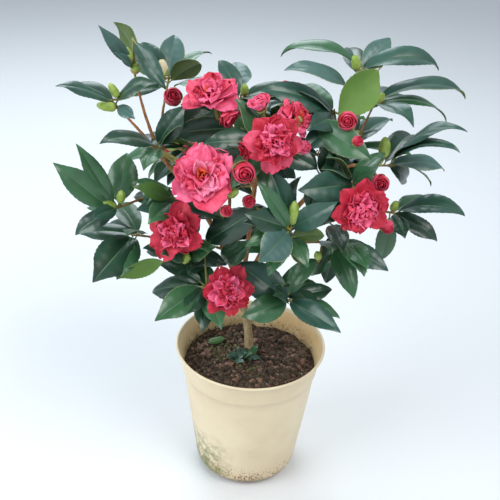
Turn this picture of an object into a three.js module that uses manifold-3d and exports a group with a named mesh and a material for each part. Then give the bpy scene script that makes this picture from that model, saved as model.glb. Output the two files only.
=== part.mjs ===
// A camellia shrub in its nursery pot: the pot, the soil, a short leaning trunk, three
// leaders, the boughs that they carry, and one uneven solid for each mass of leaves.
// Millimetres, +Z up. The origin is the centre of the pot's flat underside, and -Y is the front.
import * as THREE from 'three';
import { mergeVertices } from 'three/addons/utils/BufferGeometryUtils.js';
import Module from 'manifold-3d';

// Pot: a tapered plastic shell with a rounded foot, a faint step and a rolled lip.
const POT_HEIGHT = 170;
const POT_LIP_RADIUS = 85;
const POT_LIP_HEIGHT = 5;
const POT_LIP_PROUD = 3.5;
const POT_WALL = 2.2;
const POT_FLOOR = 3;
const POT_STEP_BELOW_LIP = 18;
const POT_STEP_DEPTH = 0.8;
const POT_FOOT_CORNER = 17;
const POT_FOOT_FLAT_RADIUS = 43.5;
const POT_SIDES = 36;
const DRAIN_HOLES = 5;
const DRAIN_RADIUS = 4;
const DRAIN_RING_RADIUS = 27;

// Soil: fills the pot to a little below the step, heaped unevenly.
const SOIL_LEVEL = 143;
const SOIL_UNEVENNESS = 3;
const SOIL_SIDES = 24;

// Trunk: flat cut at soil level, a slight root flare, and a lean to the left and up.
const TRUNK_FOOT = [0, 12, SOIL_LEVEL];
const TRUNK_FORK = [-14, 10, 232];
const TRUNK_FLARE_RADIUS = 7.5;
const TRUNK_FLARE_SHARE = 0.17;
const TRUNK_CUT_BELOW = 5;
const TRUNK_RADIUS = 5.2;
const TRUNK_FORK_RADIUS = 4.4;

// Gap kept between touching solids, and the smallest gap left where a leaf mass is cut.
const GAP = 0.35;
const CUT_TOLERANCE = 0.15;

// Leaders rise from the trunk's fork. Each has its end, its radius at both ends, and how far
// its middle sags outward of a straight line.
const LEADERS = {
  leader_left: { end: [-96, -5, 393], radius: [3.6, 2.5], sag: 16 },
  leader_right: { end: [81, 0, 391], radius: [3.4, 2.4], sag: 18 },
  leader_back: { end: [-2, 52, 352], radius: [3.0, 2.2], sag: 10 },
};

// Every shoot is a bough that leaves a parent at a share of its length and ends in a whorl
// of leaves. A leaf is [heading, rise, length]: headings turn from +X towards +Y, and both
// angles are in degrees. A mass of leaves reaches the tip of each leaf in its list.
const SHOOTS = {
  top_left: {
    parent: 'leader_left', at: 1, whorl: [-123, 0, 478], radius: 2.1, core: 25,
    leaves: [[225, 53, 62], [125, 42, 56], [250, 38, 45], [20, 10, 30], [330, -35, 34]],
  },
  top_left_inner: {
    parent: 'leader_left', at: 0.97, whorl: [-94, 25, 460], radius: 1.9, core: 26,
    leaves: [[130, 30, 56], [87, 38, 58], [47, 18, 62], [325, 34, 50], [180, -20, 45]],
  },
  left_upper: {
    parent: 'leader_left', at: 0.98, whorl: [-137, -20, 450], radius: 2.1, core: 27,
    leaves: [[223, 27, 70], [338, 35, 52], [309, -3, 32], [150, 5, 62]],
  },
  left_inner: {
    parent: 'leader_left', at: 0.94, whorl: [-97, -25, 410], radius: 1.8, core: 30,
    leaves: [[224, 19, 70], [337, 60, 58], [261, 1, 52], [312, 0, 80], [150, -10, 58]],
  },
  left_mid: {
    parent: 'leader_left', at: 0.72, whorl: [-138, -35, 351], radius: 2.1, core: 32,
    leaves: [[201, 43, 80], [147, 45, 76], [84, 46, 58], [242, 7, 40], [200, -30, 50]],
  },
  left_centre: {
    parent: 'leader_left', at: 0.6, whorl: [-80, -35, 363], radius: 1.7, core: 33,
    leaves: [[223, 29, 58], [148, -14, 56], [248, -1, 56], [275, -15, 68], [330, -5, 56]],
  },
  left_bottom: {
    parent: 'leader_left', at: 0.3, whorl: [-70, -35, 305], radius: 1.8, core: 27,
    leaves: [[212, -18, 78], [250, 25, 62], [310, 30, 58], [195, 10, 45], [345, -10, 44]],
  },
  left_low: {
    parent: 'leader_left', at: 0.2, whorl: [-119, -25, 315], radius: 2.2, core: 27,
    leaves: [[242, -12, 78], [256, -17, 62], [175, -5, 62], [120, 5, 62]],
  },
  front_left: {
    parent: 'leader_left', at: 0.12, whorl: [-49, -50, 274], radius: 1.9, core: 30,
    leaves: [[234, -3, 75], [160, -22, 66], [251, -5, 52], [290, -14, 60], [318, 22, 62]],
  },
  front_right: {
    parent: 'leader_right', at: 0.12, whorl: [36, -45, 258], radius: 1.9, core: 28,
    leaves: [[129, 4, 62], [219, 4, 60], [316, -2, 72], [20, 5, 50], [60, 45, 48]],
  },
  centre_front: {
    parent: 'leader_right', at: 0.35, whorl: [30, -70, 354], radius: 1.8, core: 30,
    leaves: [[240, -9, 56], [198, 57, 64], [215, 30, 60], [338, 42, 60], [300, -48, 46]],
  },
  centre_mid: {
    parent: 'centre_top', at: 0.55, whorl: [2, -45, 430], radius: 1.8, core: 34,
    leaves: [[285, 18, 62], [200, 5, 58], [240, -25, 60], [350, -20, 56]],
  },
  centre_top: {
    parent: 'leader_left', at: 0.15, whorl: [-23, 35, 445], radius: 2.3, core: 32,
    leaves: [[98, 26, 52], [155, -2, 78], [30, -3, 68], [220, -15, 82], [252, 24, 84]],
  },
  centre_high: {
    parent: 'leader_right', at: 0.97, whorl: [71, 0, 442], radius: 1.9, core: 30,
    leaves: [[198, 22, 84], [125, 13, 60], [294, -10, 74], [240, 5, 60]],
  },
  top_right: {
    parent: 'leader_right', at: 1, whorl: [90, 5, 487], radius: 2.1, core: 22,
    leaves: [[162, 3, 78], [199, 4, 76], [48, 28, 52], [15, -1, 82], [252, -16, 66], [95, 5, 60]],
  },
  right_upper: {
    parent: 'leader_right', at: 0.98, whorl: [109, 25, 445], radius: 2.0, core: 24,
    leaves: [[14, 3, 100], [39, -6, 62], [6, -12, 80], [296, 4, 70], [75, 0, 66]],
  },
  right_mid: {
    parent: 'leader_right', at: 0.96, whorl: [127, 5, 392], radius: 2.1, core: 27,
    leaves: [[329, 36, 92], [326, 25, 80], [11, -8, 64], [15, -27, 60], [60, 10, 66]],
  },
  centre_right: {
    parent: 'leader_right', at: 0.85, whorl: [88, -42, 392], radius: 1.8, core: 34,
    leaves: [[216, 8, 66], [293, 40, 56], [304, -45, 56], [255, -10, 62]],
  },
  right_low: {
    parent: 'leader_right', at: 0.55, whorl: [140, 15, 335], radius: 2.1, core: 25,
    leaves: [[330, 14, 80], [38, -2, 60], [284, -10, 44], [345, -25, 58]],
  },
  right_bottom: {
    parent: 'leader_right', at: 0.28, whorl: [87, -15, 312], radius: 2.0, core: 27,
    leaves: [[294, 1, 58], [38, -48, 68], [170, -60, 52], [330, -15, 58]],
  },
  back_top: {
    parent: 'leader_back', at: 1, whorl: [22, 78, 405], radius: 2.0, core: 34,
    leaves: [[95, 8, 66], [150, 5, 66], [35, 10, 68], [250, 10, 56]],
  },
  back_left: {
    parent: 'leader_back', at: 0.9, whorl: [-84, 72, 372], radius: 2.2, core: 36,
    leaves: [[100, 5, 70], [140, 15, 78], [185, -5, 78], [60, 10, 62], [240, -25, 56]],
  },
  back_right: {
    parent: 'leader_back', at: 0.92, whorl: [96, 74, 378], radius: 2.2, core: 36,
    leaves: [[85, 5, 70], [45, 12, 78], [5, -8, 76], [125, 10, 62], [300, -20, 56]],
  },
  back_centre: {
    parent: 'leader_back', at: 0.8, whorl: [-12, 98, 338], radius: 2.1, core: 36,
    leaves: [[90, 5, 72], [130, -5, 68], [45, -5, 68], [180, 10, 62], [0, 5, 60]],
  },
  back_low: {
    parent: 'leader_back', at: 0.35, whorl: [18, 66, 276], radius: 1.9, core: 30,
    leaves: [[80, 5, 68], [20, 0, 62], [140, 0, 66], [190, -10, 58]],
  },
};

// How a bough leaves its parent: it heads this far upwards before it turns to its whorl.
const BOUGH_LIFT = 0.22;
const BOUGH_TIP_RADIUS = 1.3;

// Sides round each kind of limb.
const TRUNK_SIDES = 12;
const LEADER_SIDES = 7;
const BOUGH_SIDES = 5;

// Leaf masses: how sharply each leaf's lobe stands out, and the seeded unevenness of the core.
const LOBE_SHARPNESS = 12;
const MASS_DETAIL = 2;
const MASS_UNEVENNESS = 0.12;
const MASS_FLATNESS = 0.82;
const GOLDEN_TURN = 2.39996;

const wasm = await Module();
wasm.setup();

const vector = ([x, y, z]) => new THREE.Vector3(x, y, z);

// ---- solids and meshes ----

// A closed geometry, with its shared corners merged, as a solid that can be cut.
function solidOf(geometry) {
  const bare = new THREE.BufferGeometry();
  bare.setAttribute('position', geometry.getAttribute('position').clone());
  if (geometry.index) bare.setIndex(geometry.index.clone());
  const merged = mergeVertices(bare, 1e-3);
  const corners = merged.index.array;
  const kept = [];
  for (let i = 0; i < corners.length; i += 3) {
    const [a, b, c] = corners.slice(i, i + 3);
    if (a !== b && b !== c && c !== a) kept.push(a, b, c);
  }
  return new wasm.Manifold(new wasm.Mesh({
    numProp: 3,
    vertProperties: new Float32Array(merged.getAttribute('position').array),
    triVerts: new Uint32Array(kept),
  }));
}

// The largest connected piece of a solid that has been cut, without its needless corners.
function largestPiece(solid) {
  const pieces = solid.decompose();
  return pieces.reduce((best, piece) => (piece.volume() > best.volume() ? piece : best)).simplify(CUT_TOLERANCE);
}

function geometryOf(solid) {
  const cut = solid.getMesh();
  const geometry = new THREE.BufferGeometry();
  geometry.setAttribute('position', new THREE.BufferAttribute(new Float32Array(cut.vertProperties), 3));
  geometry.setIndex(new THREE.BufferAttribute(new Uint32Array(cut.triVerts), 1));
  geometry.computeVertexNormals();
  return geometry;
}

const shrub = new THREE.Group();

function addPiece(name, geometry, material) {
  const mesh = new THREE.Mesh(geometry, material);
  mesh.name = name;
  shrub.add(mesh);
}

// ---- materials ----

const potPlastic = new THREE.MeshStandardMaterial({ color: 0xeddcb9, roughness: 0.45, metalness: 0 });
const pottingSoil = new THREE.MeshStandardMaterial({ color: 0x2b1c13, roughness: 1, metalness: 0 });
const trunkBark = new THREE.MeshStandardMaterial({ color: 0x9a7a55, roughness: 0.85, metalness: 0 });
const boughBark = new THREE.MeshStandardMaterial({ color: 0x8a4f2c, roughness: 0.8, metalness: 0 });
const leafGreen = new THREE.MeshStandardMaterial({ color: 0x24503a, roughness: 0.45, metalness: 0 });

// ---- pot and soil ----

// Outer radius of the pot's wall at a height, on the straight taper from foot to lip.
const WALL_TOP_RADIUS = POT_LIP_RADIUS - POT_LIP_PROUD;
const WALL_FOOT_RADIUS = POT_FOOT_FLAT_RADIUS + POT_FOOT_CORNER;
const WALL_SLOPE = (WALL_TOP_RADIUS - WALL_FOOT_RADIUS) / (POT_HEIGHT - POT_FOOT_CORNER);

function wallRadius(height) {
  return WALL_FOOT_RADIUS + WALL_SLOPE * (height - POT_FOOT_CORNER);
}

// A quarter turn from straight down to straight out, for the foot's rounded corner.
function footCorner(radius, steps) {
  const points = [];
  for (let i = 0; i <= steps; i += 1) {
    const turn = (i / steps) * (Math.PI / 2 - Math.atan(WALL_SLOPE));
    points.push(new THREE.Vector2(
      POT_FOOT_FLAT_RADIUS + radius * Math.sin(turn),
      POT_FOOT_CORNER - radius * Math.cos(turn),
    ));
  }
  return points;
}

function potSolid() {
  const stepHeight = POT_HEIGHT - POT_STEP_BELOW_LIP;
  const lipFoot = POT_HEIGHT - POT_LIP_HEIGHT;
  const innerCorner = footCorner(POT_FOOT_CORNER - POT_FLOOR, 3).reverse();
  const profile = [
    new THREE.Vector2(0, 0),
    ...footCorner(POT_FOOT_CORNER, 4),
    new THREE.Vector2(wallRadius(stepHeight) - POT_STEP_DEPTH, stepHeight),
    new THREE.Vector2(wallRadius(stepHeight), stepHeight + POT_STEP_DEPTH),
    new THREE.Vector2(wallRadius(lipFoot), lipFoot),
    new THREE.Vector2(POT_LIP_RADIUS - 0.8, lipFoot + 0.3),
    new THREE.Vector2(POT_LIP_RADIUS, lipFoot + 2),
    new THREE.Vector2(POT_LIP_RADIUS - 0.6, POT_HEIGHT - 0.8),
    new THREE.Vector2(POT_LIP_RADIUS - 2, POT_HEIGHT),
    new THREE.Vector2(WALL_TOP_RADIUS - POT_WALL + 0.8, POT_HEIGHT),
    new THREE.Vector2(WALL_TOP_RADIUS - POT_WALL, POT_HEIGHT - 1.5),
    ...innerCorner,
    new THREE.Vector2(0, POT_FLOOR),
  ];
  let pot = solidOf(new THREE.LatheGeometry(profile, POT_SIDES).rotateX(Math.PI / 2));
  for (let i = 0; i < DRAIN_HOLES; i += 1) {
    const turn = (i / DRAIN_HOLES) * 2 * Math.PI;
    const drill = new THREE.CylinderGeometry(DRAIN_RADIUS, DRAIN_RADIUS, POT_FLOOR * 3, 10);
    drill.rotateX(Math.PI / 2);
    drill.translate(DRAIN_RING_RADIUS * Math.cos(turn), DRAIN_RING_RADIUS * Math.sin(turn), POT_FLOOR / 2);
    pot = pot.subtract(solidOf(drill));
  }
  return pot;
}

// The soil follows the pot's inside with a gap, and its top is flat only under the trunk.
function soilSolid() {
  const innerRadius = (height) => wallRadius(height) - POT_WALL - 2 * GAP;
  const top = SOIL_LEVEL - GAP;
  const inside = POT_FOOT_CORNER - POT_FLOOR - 2 * GAP;
  const profile = [new THREE.Vector2(0, POT_FLOOR + 2 * GAP)];
  profile.push(...footCorner(inside, 2));
  for (const share of [1, 0.8, 0.6, 0.4, 0.22]) {
    profile.push(new THREE.Vector2(innerRadius(top - SOIL_UNEVENNESS) * share, top));
  }
  profile.push(new THREE.Vector2(0, top));
  const geometry = new THREE.LatheGeometry(profile, SOIL_SIDES).rotateX(Math.PI / 2);
  const place = geometry.getAttribute('position');
  for (let i = 0; i < place.count; i += 1) {
    const x = place.getX(i);
    const y = place.getY(i);
    const distance = Math.hypot(x, y - TRUNK_FOOT[1]);
    if (place.getZ(i) > top - 1e-3 && distance > 3 * TRUNK_FLARE_RADIUS) {
      const heave = Math.sin(x / 17) * Math.cos(y / 21) + 0.5 * Math.sin((x + y) / 9);
      place.setZ(i, top + heave * SOIL_UNEVENNESS * 0.6);
    }
  }
  return solidOf(geometry);
}

// ---- trunk, leaders and boughs ----

// A tapering limb: a lathed column whose axis is bent along the curve. Its radius is given
// at the limb's shares of length, and grow thickens and lengthens it for cutting others.
function limbSolid(curve, stations, sides, grow) {
  const profile = [new THREE.Vector2(0, 0)];
  for (const [share, radius] of stations) profile.push(new THREE.Vector2(radius + grow, share));
  profile.push(new THREE.Vector2(0, 1));
  const geometry = new THREE.LatheGeometry(profile, sides);
  const place = geometry.getAttribute('position');
  const across = new THREE.Vector3();
  const over = new THREE.Vector3();
  for (let i = 0; i < place.count; i += 1) {
    const share = place.getY(i);
    const tangent = curve.getTangentAt(share);
    across.set(0, 1, 0).addScaledVector(tangent, -tangent.y).normalize();
    over.crossVectors(tangent, across);
    const point = curve.getPointAt(share)
      .addScaledVector(across, place.getZ(i))
      .addScaledVector(over, place.getX(i));
    if (share === 0 || share === 1) point.addScaledVector(tangent, (share * 2 - 1) * grow);
    place.setXYZ(i, point.x, point.y, point.z);
  }
  return solidOf(geometry);
}

function evenTaper(startRadius, endRadius, steps) {
  const stations = [];
  for (let i = 0; i <= steps; i += 1) {
    stations.push([i / steps, startRadius + (endRadius - startRadius) * (i / steps)]);
  }
  return stations;
}

const limbs = new Map();

function planLimb(name, points, stations, sides, material, endsIn = null) {
  const curve = new THREE.CatmullRomCurve3(points, false, 'centripetal');
  limbs.set(name, { curve, stations, sides, material, endsIn });
}

// The trunk is planned from a little under the soil's level, and cut off flat at that level.
function planTrunk() {
  const foot = vector(TRUNK_FOOT);
  foot.z -= TRUNK_CUT_BELOW;
  const fork = vector(TRUNK_FORK);
  const lowBend = foot.clone().lerp(fork, 0.35);
  lowBend.x = TRUNK_FOOT[0] - 2.5;
  const stations = [
    [0, TRUNK_FLARE_RADIUS],
    [TRUNK_FLARE_SHARE / 2, (TRUNK_FLARE_RADIUS + TRUNK_RADIUS) / 2 - 0.4],
    [TRUNK_FLARE_SHARE, TRUNK_RADIUS],
    ...evenTaper(TRUNK_RADIUS, TRUNK_FORK_RADIUS, 5).slice(1).map(([share, radius]) => (
      [TRUNK_FLARE_SHARE + share * (1 - TRUNK_FLARE_SHARE), radius])),
  ];
  planLimb('trunk', [foot, lowBend, fork], stations, TRUNK_SIDES, trunkBark);
}

function slabUnderSoilLevel() {
  const slab = new THREE.BoxGeometry(POT_LIP_RADIUS, POT_LIP_RADIUS, 4 * TRUNK_CUT_BELOW);
  slab.translate(TRUNK_FOOT[0], TRUNK_FOOT[1], SOIL_LEVEL - 2 * TRUNK_CUT_BELOW);
  return solidOf(slab);
}

function planLeaders() {
  const fork = limbs.get('trunk').curve.getPointAt(0.97);
  for (const [name, { end, radius, sag }] of Object.entries(LEADERS)) {
    const middle = fork.clone().lerp(vector(end), 0.5);
    middle.z += sag * 0.4;
    const outward = vector(end).setZ(0).normalize();
    middle.addScaledVector(outward, -sag * 0.5);
    planLimb(name, [fork, middle, vector(end)], evenTaper(radius[0], radius[1], 6), LEADER_SIDES, boughBark);
  }
}

// A bough is planned once its parent is, so a bough that grows from a bough comes later.
function planBoughs() {
  const waiting = Object.entries(SHOOTS);
  while (waiting.length > 0) {
    const [name, { parent, at, whorl, radius }] = waiting.shift();
    const parentLimb = limbs.get(parent) ?? limbs.get(`bough_${parent}`);
    if (!parentLimb) {
      waiting.push([name, SHOOTS[name]]);
      continue;
    }
    const start = parentLimb.curve.getPointAt(at);
    const end = vector(whorl);
    const middle = start.clone().lerp(end, 0.45);
    middle.addScaledVector(parentLimb.curve.getTangentAt(at), start.distanceTo(end) * BOUGH_LIFT);
    const stations = evenTaper(radius, BOUGH_TIP_RADIUS, 4);
    planLimb(`bough_${name}`, [start, middle, end], stations, BOUGH_SIDES, boughBark, `leaves_${name}`);
  }
}

// ---- leaf masses ----

// A stretched ball round the whorl, drawn out into one lobe for each leading leaf.
function massSolid({ whorl, core, leaves }, seed, grow) {
  const lobes = leaves.map(([heading, rise, length]) => {
    const turn = THREE.MathUtils.degToRad(heading);
    const lift = THREE.MathUtils.degToRad(rise);
    const level = Math.cos(lift);
    return { way: new THREE.Vector3(Math.cos(turn) * level, Math.sin(turn) * level, Math.sin(lift)), length };
  });
  const geometry = mergeVertices(bareGeometry(new THREE.IcosahedronGeometry(1, MASS_DETAIL)), 1e-4);
  const place = geometry.getAttribute('position');
  const ways = [];
  const reach = [];
  for (let i = 0; i < place.count; i += 1) {
    const way = new THREE.Vector3().fromBufferAttribute(place, i).normalize();
    const wave = Math.sin(seed + GOLDEN_TURN * i) * MASS_UNEVENNESS;
    let radius = core * (1 + wave);
    for (const lobe of lobes) {
      const share = Math.exp(-(1 - way.dot(lobe.way)) * LOBE_SHARPNESS);
      radius = Math.max(radius, core + (lobe.length - core) * share);
    }
    ways.push(way);
    reach.push(radius * (1 - (1 - MASS_FLATNESS) * Math.abs(way.z)));
  }
  const taken = new Set();
  for (const lobe of lobes) {
    const closeness = ways.map((way, i) => (taken.has(i) ? -1 : way.dot(lobe.way)));
    const nearest = closeness.indexOf(Math.max(...closeness));
    taken.add(nearest);
    ways[nearest].copy(lobe.way);
    reach[nearest] = lobe.length;
  }
  ways.forEach((way, i) => {
    const distance = reach[i] + grow;
    place.setXYZ(i, whorl[0] + way.x * distance, whorl[1] + way.y * distance, whorl[2] + way.z * distance);
  });
  return solidOf(geometry);
}

function bareGeometry(geometry) {
  geometry.deleteAttribute('normal');
  geometry.deleteAttribute('uv');
  return geometry;
}

// ---- assembly: limbs are cut where they meet, and masses round limbs and each other ----

planTrunk();
planLeaders();
planBoughs();

addPiece('pot', geometryOf(potSolid()), potPlastic);
addPiece('soil', geometryOf(soilSolid()), pottingSoil);

const thickMasses = new Map();
Object.entries(SHOOTS).forEach(([name, shoot], i) => {
  thickMasses.set(`leaves_${name}`, massSolid(shoot, i, GAP * 2));
});

const thickLimbs = [];
for (const [name, { curve, stations, sides, material, endsIn }] of limbs) {
  let limb = limbSolid(curve, stations, sides, 0).subtract(slabUnderSoilLevel());
  for (const earlier of thickLimbs) limb = limb.subtract(earlier.solid);
  if (endsIn) limb = limb.subtract(thickMasses.get(endsIn));
  addPiece(name, geometryOf(largestPiece(limb)), material);
  thickLimbs.push({ solid: limbSolid(curve, stations, sides, GAP * 1.3), endsIn });
}

const placedMasses = [];
Object.entries(SHOOTS).forEach(([name, shoot], i) => {
  let mass = massSolid(shoot, i, 0);
  for (const limb of thickLimbs) {
    if (limb.endsIn !== `leaves_${name}`) mass = mass.subtract(limb.solid);
  }
  for (const placed of placedMasses) mass = mass.subtract(placed);
  addPiece(`leaves_${name}`, geometryOf(largestPiece(mass)), leafGreen);
  placedMasses.push(thickMasses.get(`leaves_${name}`));
});

export default shrub;
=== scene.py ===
import math

import bmesh
import bpy
import numpy as np
from mathutils import Matrix, Vector


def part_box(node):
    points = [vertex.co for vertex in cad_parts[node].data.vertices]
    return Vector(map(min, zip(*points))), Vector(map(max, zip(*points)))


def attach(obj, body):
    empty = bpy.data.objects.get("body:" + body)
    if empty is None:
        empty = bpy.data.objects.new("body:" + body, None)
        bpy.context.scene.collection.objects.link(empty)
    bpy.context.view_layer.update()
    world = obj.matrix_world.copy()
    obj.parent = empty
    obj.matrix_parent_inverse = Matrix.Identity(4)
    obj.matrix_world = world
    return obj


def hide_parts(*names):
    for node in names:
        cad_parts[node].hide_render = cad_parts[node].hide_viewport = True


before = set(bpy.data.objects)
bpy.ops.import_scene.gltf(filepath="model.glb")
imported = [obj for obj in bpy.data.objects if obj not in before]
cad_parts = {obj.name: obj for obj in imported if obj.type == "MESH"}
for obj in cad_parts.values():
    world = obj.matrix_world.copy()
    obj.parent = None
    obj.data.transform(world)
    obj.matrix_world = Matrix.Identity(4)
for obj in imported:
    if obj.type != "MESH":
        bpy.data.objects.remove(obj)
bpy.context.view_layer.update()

MM = 0.001


# ---- Standpoint, floor and daylight ----
# The shrub is looked down on from standing height, a little over an arm's length away.
# It stands on a plain pale floor under the even light of a bright overcast sky. A separate
# script worked out the eye's place and tilt.
pot_low, pot_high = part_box("pot")
EYE_BACK = 0.7245
EYE_LEFT = 0.0056
EYE_ABOVE_RIM = 0.536
EYE_PITCH = math.radians(29.87)
EYE_ROLL = math.radians(2.7)
EYE_LENS = 56.45
SENSOR_WIDTH = 36
FLOOR_SIDE = 8.0
FLOOR_DROP = 0.5 * MM


def stand_camera():
    forward = Vector((0, math.cos(EYE_PITCH), -math.sin(EYE_PITCH)))
    down = Vector((0, -math.sin(EYE_PITCH), -math.cos(EYE_PITCH)))
    right = Vector((1, 0, 0))
    across = right * math.cos(EYE_ROLL) - down * math.sin(EYE_ROLL)
    below = right * math.sin(EYE_ROLL) + down * math.cos(EYE_ROLL)
    camera = bpy.data.objects.new("camera", bpy.data.cameras.new("camera"))
    bpy.context.scene.collection.objects.link(camera)
    turn = Matrix((across, -below, -forward)).transposed().to_4x4()
    place = Vector((-EYE_LEFT, -EYE_BACK, pot_high.z + EYE_ABOVE_RIM))
    camera.matrix_world = Matrix.Translation(place) @ turn
    camera.data.lens = EYE_LENS
    camera.data.sensor_width = SENSOR_WIDTH
    bpy.context.scene.camera = camera


def lay_floor():
    half = FLOOR_SIDE / 2
    mesh = bpy.data.meshes.new("floor")
    corners = [(-half, -half, 0), (half, -half, 0), (half, half, 0), (-half, half, 0)]
    mesh.from_pydata(corners, [], [(0, 1, 2, 3)])
    floor = bpy.data.objects.new("floor", mesh)
    bpy.context.scene.collection.objects.link(floor)
    floor.location.z = pot_low.z - FLOOR_DROP
    material = bpy.data.materials.new("pale_floor")
    material.use_nodes = True
    shader = material.node_tree.nodes["Principled BSDF"]
    shader.inputs["Base Color"].default_value = (0.74, 0.75, 0.76, 1)
    shader.inputs["Roughness"].default_value = 0.8
    mesh.materials.append(material)


def hang_light(name, place, aim, side, power, colour):
    lamp = bpy.data.lights.new(name, "AREA")
    lamp.shape = "DISK"
    lamp.size = side
    lamp.energy = power
    lamp.color = colour
    holder = bpy.data.objects.new(name, lamp)
    bpy.context.scene.collection.objects.link(holder)
    holder.location = place
    holder.rotation_mode = "QUATERNION"
    holder.rotation_quaternion = (Vector(aim) - Vector(place)).to_track_quat("-Z", "Y")


def light_the_day():
    world = bpy.data.worlds.new("overcast")
    world.use_nodes = True
    sky = world.node_tree.nodes["Background"]
    sky.inputs["Color"].default_value = (0.80, 0.90, 1.0, 1)
    sky.inputs["Strength"].default_value = 0.55
    bpy.context.scene.world = world
    middle = (0, 0, 0.3)
    hang_light("sky_over_right", (0.9, -0.9, 1.9), middle, 1.2, 22, (1.0, 0.98, 0.94))
    hang_light("sky_behind", (-0.4, 1.2, 1.6), middle, 1.4, 20, (0.85, 0.93, 1.0))
    hang_light("sky_over_left", (-1.4, -0.8, 1.2), middle, 1.4, 24, (0.92, 0.97, 1.0))
    bpy.context.scene.view_settings.view_transform = "Standard"


stand_camera()
lay_floor()
light_the_day()


# ---- Nursery pot ----
# A one-gallon pot, moulded in cream plastic: a thin tapered wall, a rolled lip, a faint step
# under it, and a rounded foot with drain holes. Soil has splashed and stained it.
POT_SIDES = 128
POT_WALL = 2.2 * MM
POT_FLOOR = 3.0 * MM
FOOT_CORNER = 17 * MM
FOOT_FLAT = 43.5 * MM
LIP_PROUD = 3.5 * MM
FLARE_HEIGHT = 15 * MM
STEP_BELOW_LIP = 30 * MM
STEP_DEPTH = 1.6 * MM
DRAIN_HOLES = 5
DRAIN_RADIUS = 4 * MM
DRAIN_RING = 27 * MM
POT_SHARP_ANGLE = math.radians(50)

pot_height = pot_high.z - pot_low.z
lip_radius = (pot_high.x - pot_low.x) / 2
wall_top = lip_radius - LIP_PROUD
wall_slope = (wall_top - FOOT_FLAT - FOOT_CORNER) / (pot_height - FOOT_CORNER)


def wall_radius(height):
    return FOOT_FLAT + FOOT_CORNER + wall_slope * (height - FOOT_CORNER)


def flared_radius(height):
    flare = max(0.0, (height - pot_height + FLARE_HEIGHT) / FLARE_HEIGHT)
    return wall_radius(height) + (LIP_PROUD - 0.6 * MM) * flare ** 2


def arc(centre, radius, start, end, steps):
    turns = [math.radians(start + (end - start) * i / steps) for i in range(steps + 1)]
    return [(centre[0] + radius * math.cos(t), centre[1] + radius * math.sin(t)) for t in turns]


def pot_outline():
    lean = math.degrees(math.atan(wall_slope))
    step = pot_height - STEP_BELOW_LIP
    lip_round = 1.5 * MM
    outline = [(0, 0), (FOOT_FLAT * 0.5, 0)]
    outline += arc((FOOT_FLAT, FOOT_CORNER), FOOT_CORNER, -90, -lean, 10)
    heights = np.linspace(FOOT_CORNER, step - 1.5 * MM, 14)[1:]
    outline += [(wall_radius(h) - STEP_DEPTH * (h / step) ** 4, h) for h in heights]
    outline += [(wall_radius(step + 0.7 * MM), step + 0.7 * MM)]
    outline += [(flared_radius(h), h) for h in np.linspace(step + 3 * MM, pot_height - 3.6 * MM, 7)]
    outline += arc((lip_radius - lip_round, pot_height - lip_round), lip_round, -60, 150, 9)
    inner = np.linspace(pot_height - 3.4 * MM, FOOT_CORNER, 18)
    outline += [(flared_radius(h) - POT_WALL, h) for h in inner]
    outline += arc((FOOT_FLAT, FOOT_CORNER), FOOT_CORNER - POT_FLOOR, -lean, -90, 6)
    outline += [(0, POT_FLOOR)]
    return outline


def lathe(name, outline, sides, wobble):
    rings = []
    verts = []
    for radius, height in outline:
        if radius == 0:
            rings.append([len(verts)])
            verts.append((0, 0, height))
            continue
        rings.append(range(len(verts), len(verts) + sides))
        for i in range(sides):
            turn = 2 * math.pi * i / sides
            r = radius * (1 + wobble * math.sin(2 * turn + 0.6) * (height / pot_height) ** 2)
            verts.append((r * math.cos(turn), r * math.sin(turn), height))
    faces = []
    for low, high in zip(rings, rings[1:]):
        for i in range(sides):
            j = (i + 1) % sides
            if len(low) == 1:
                faces.append((low[0], high[j], high[i]))
            elif len(high) == 1:
                faces.append((low[i], low[j], high[0]))
            else:
                faces.append((low[i], low[j], high[j], high[i]))
    mesh = bpy.data.meshes.new(name)
    mesh.from_pydata(verts, [], faces)
    piece = bpy.data.objects.new(name, mesh)
    bpy.context.scene.collection.objects.link(piece)
    mesh.polygons.foreach_set("use_smooth", [True] * len(mesh.polygons))
    return piece


def apply_modifiers(piece):
    graph = bpy.context.evaluated_depsgraph_get()
    final = bpy.data.meshes.new_from_object(piece.evaluated_get(graph))
    piece.modifiers.clear()
    piece.data = final


def drill_drains(piece):
    drills = bmesh.new()
    for i in range(DRAIN_HOLES):
        turn = 2 * math.pi * i / DRAIN_HOLES
        middle = (DRAIN_RING * math.cos(turn), DRAIN_RING * math.sin(turn), POT_FLOOR / 2)
        bmesh.ops.create_cone(drills, cap_ends=True, segments=24, radius1=DRAIN_RADIUS,
                              radius2=DRAIN_RADIUS, depth=POT_FLOOR * 3,
                              matrix=Matrix.Translation(middle))
    mesh = bpy.data.meshes.new("drills")
    drills.to_mesh(mesh)
    drills.free()
    cutter = bpy.data.objects.new("drills", mesh)
    bpy.context.scene.collection.objects.link(cutter)
    cut = piece.modifiers.new("drains", "BOOLEAN")
    cut.operation = "DIFFERENCE"
    cut.object = cutter
    cut.solver = "EXACT"
    bpy.context.view_layer.update()
    apply_modifiers(piece)
    bpy.data.objects.remove(cutter)


def node(tree, kind, **sockets):
    """A shader node with its settings and unlinked sockets given by name."""
    made = tree.nodes.new(kind)
    for key, value in sockets.items():
        if hasattr(made, key):
            setattr(made, key, value)
        else:
            made.inputs[key.replace("_", " ")].default_value = value
    return made


def start_material(name, colour, roughness):
    material = bpy.data.materials.new(name)
    material.use_nodes = True
    shader = material.node_tree.nodes["Principled BSDF"]
    shader.inputs["Base Color"].default_value = (*colour, 1)
    shader.inputs["Roughness"].default_value = roughness
    return material, material.node_tree, shader


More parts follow.
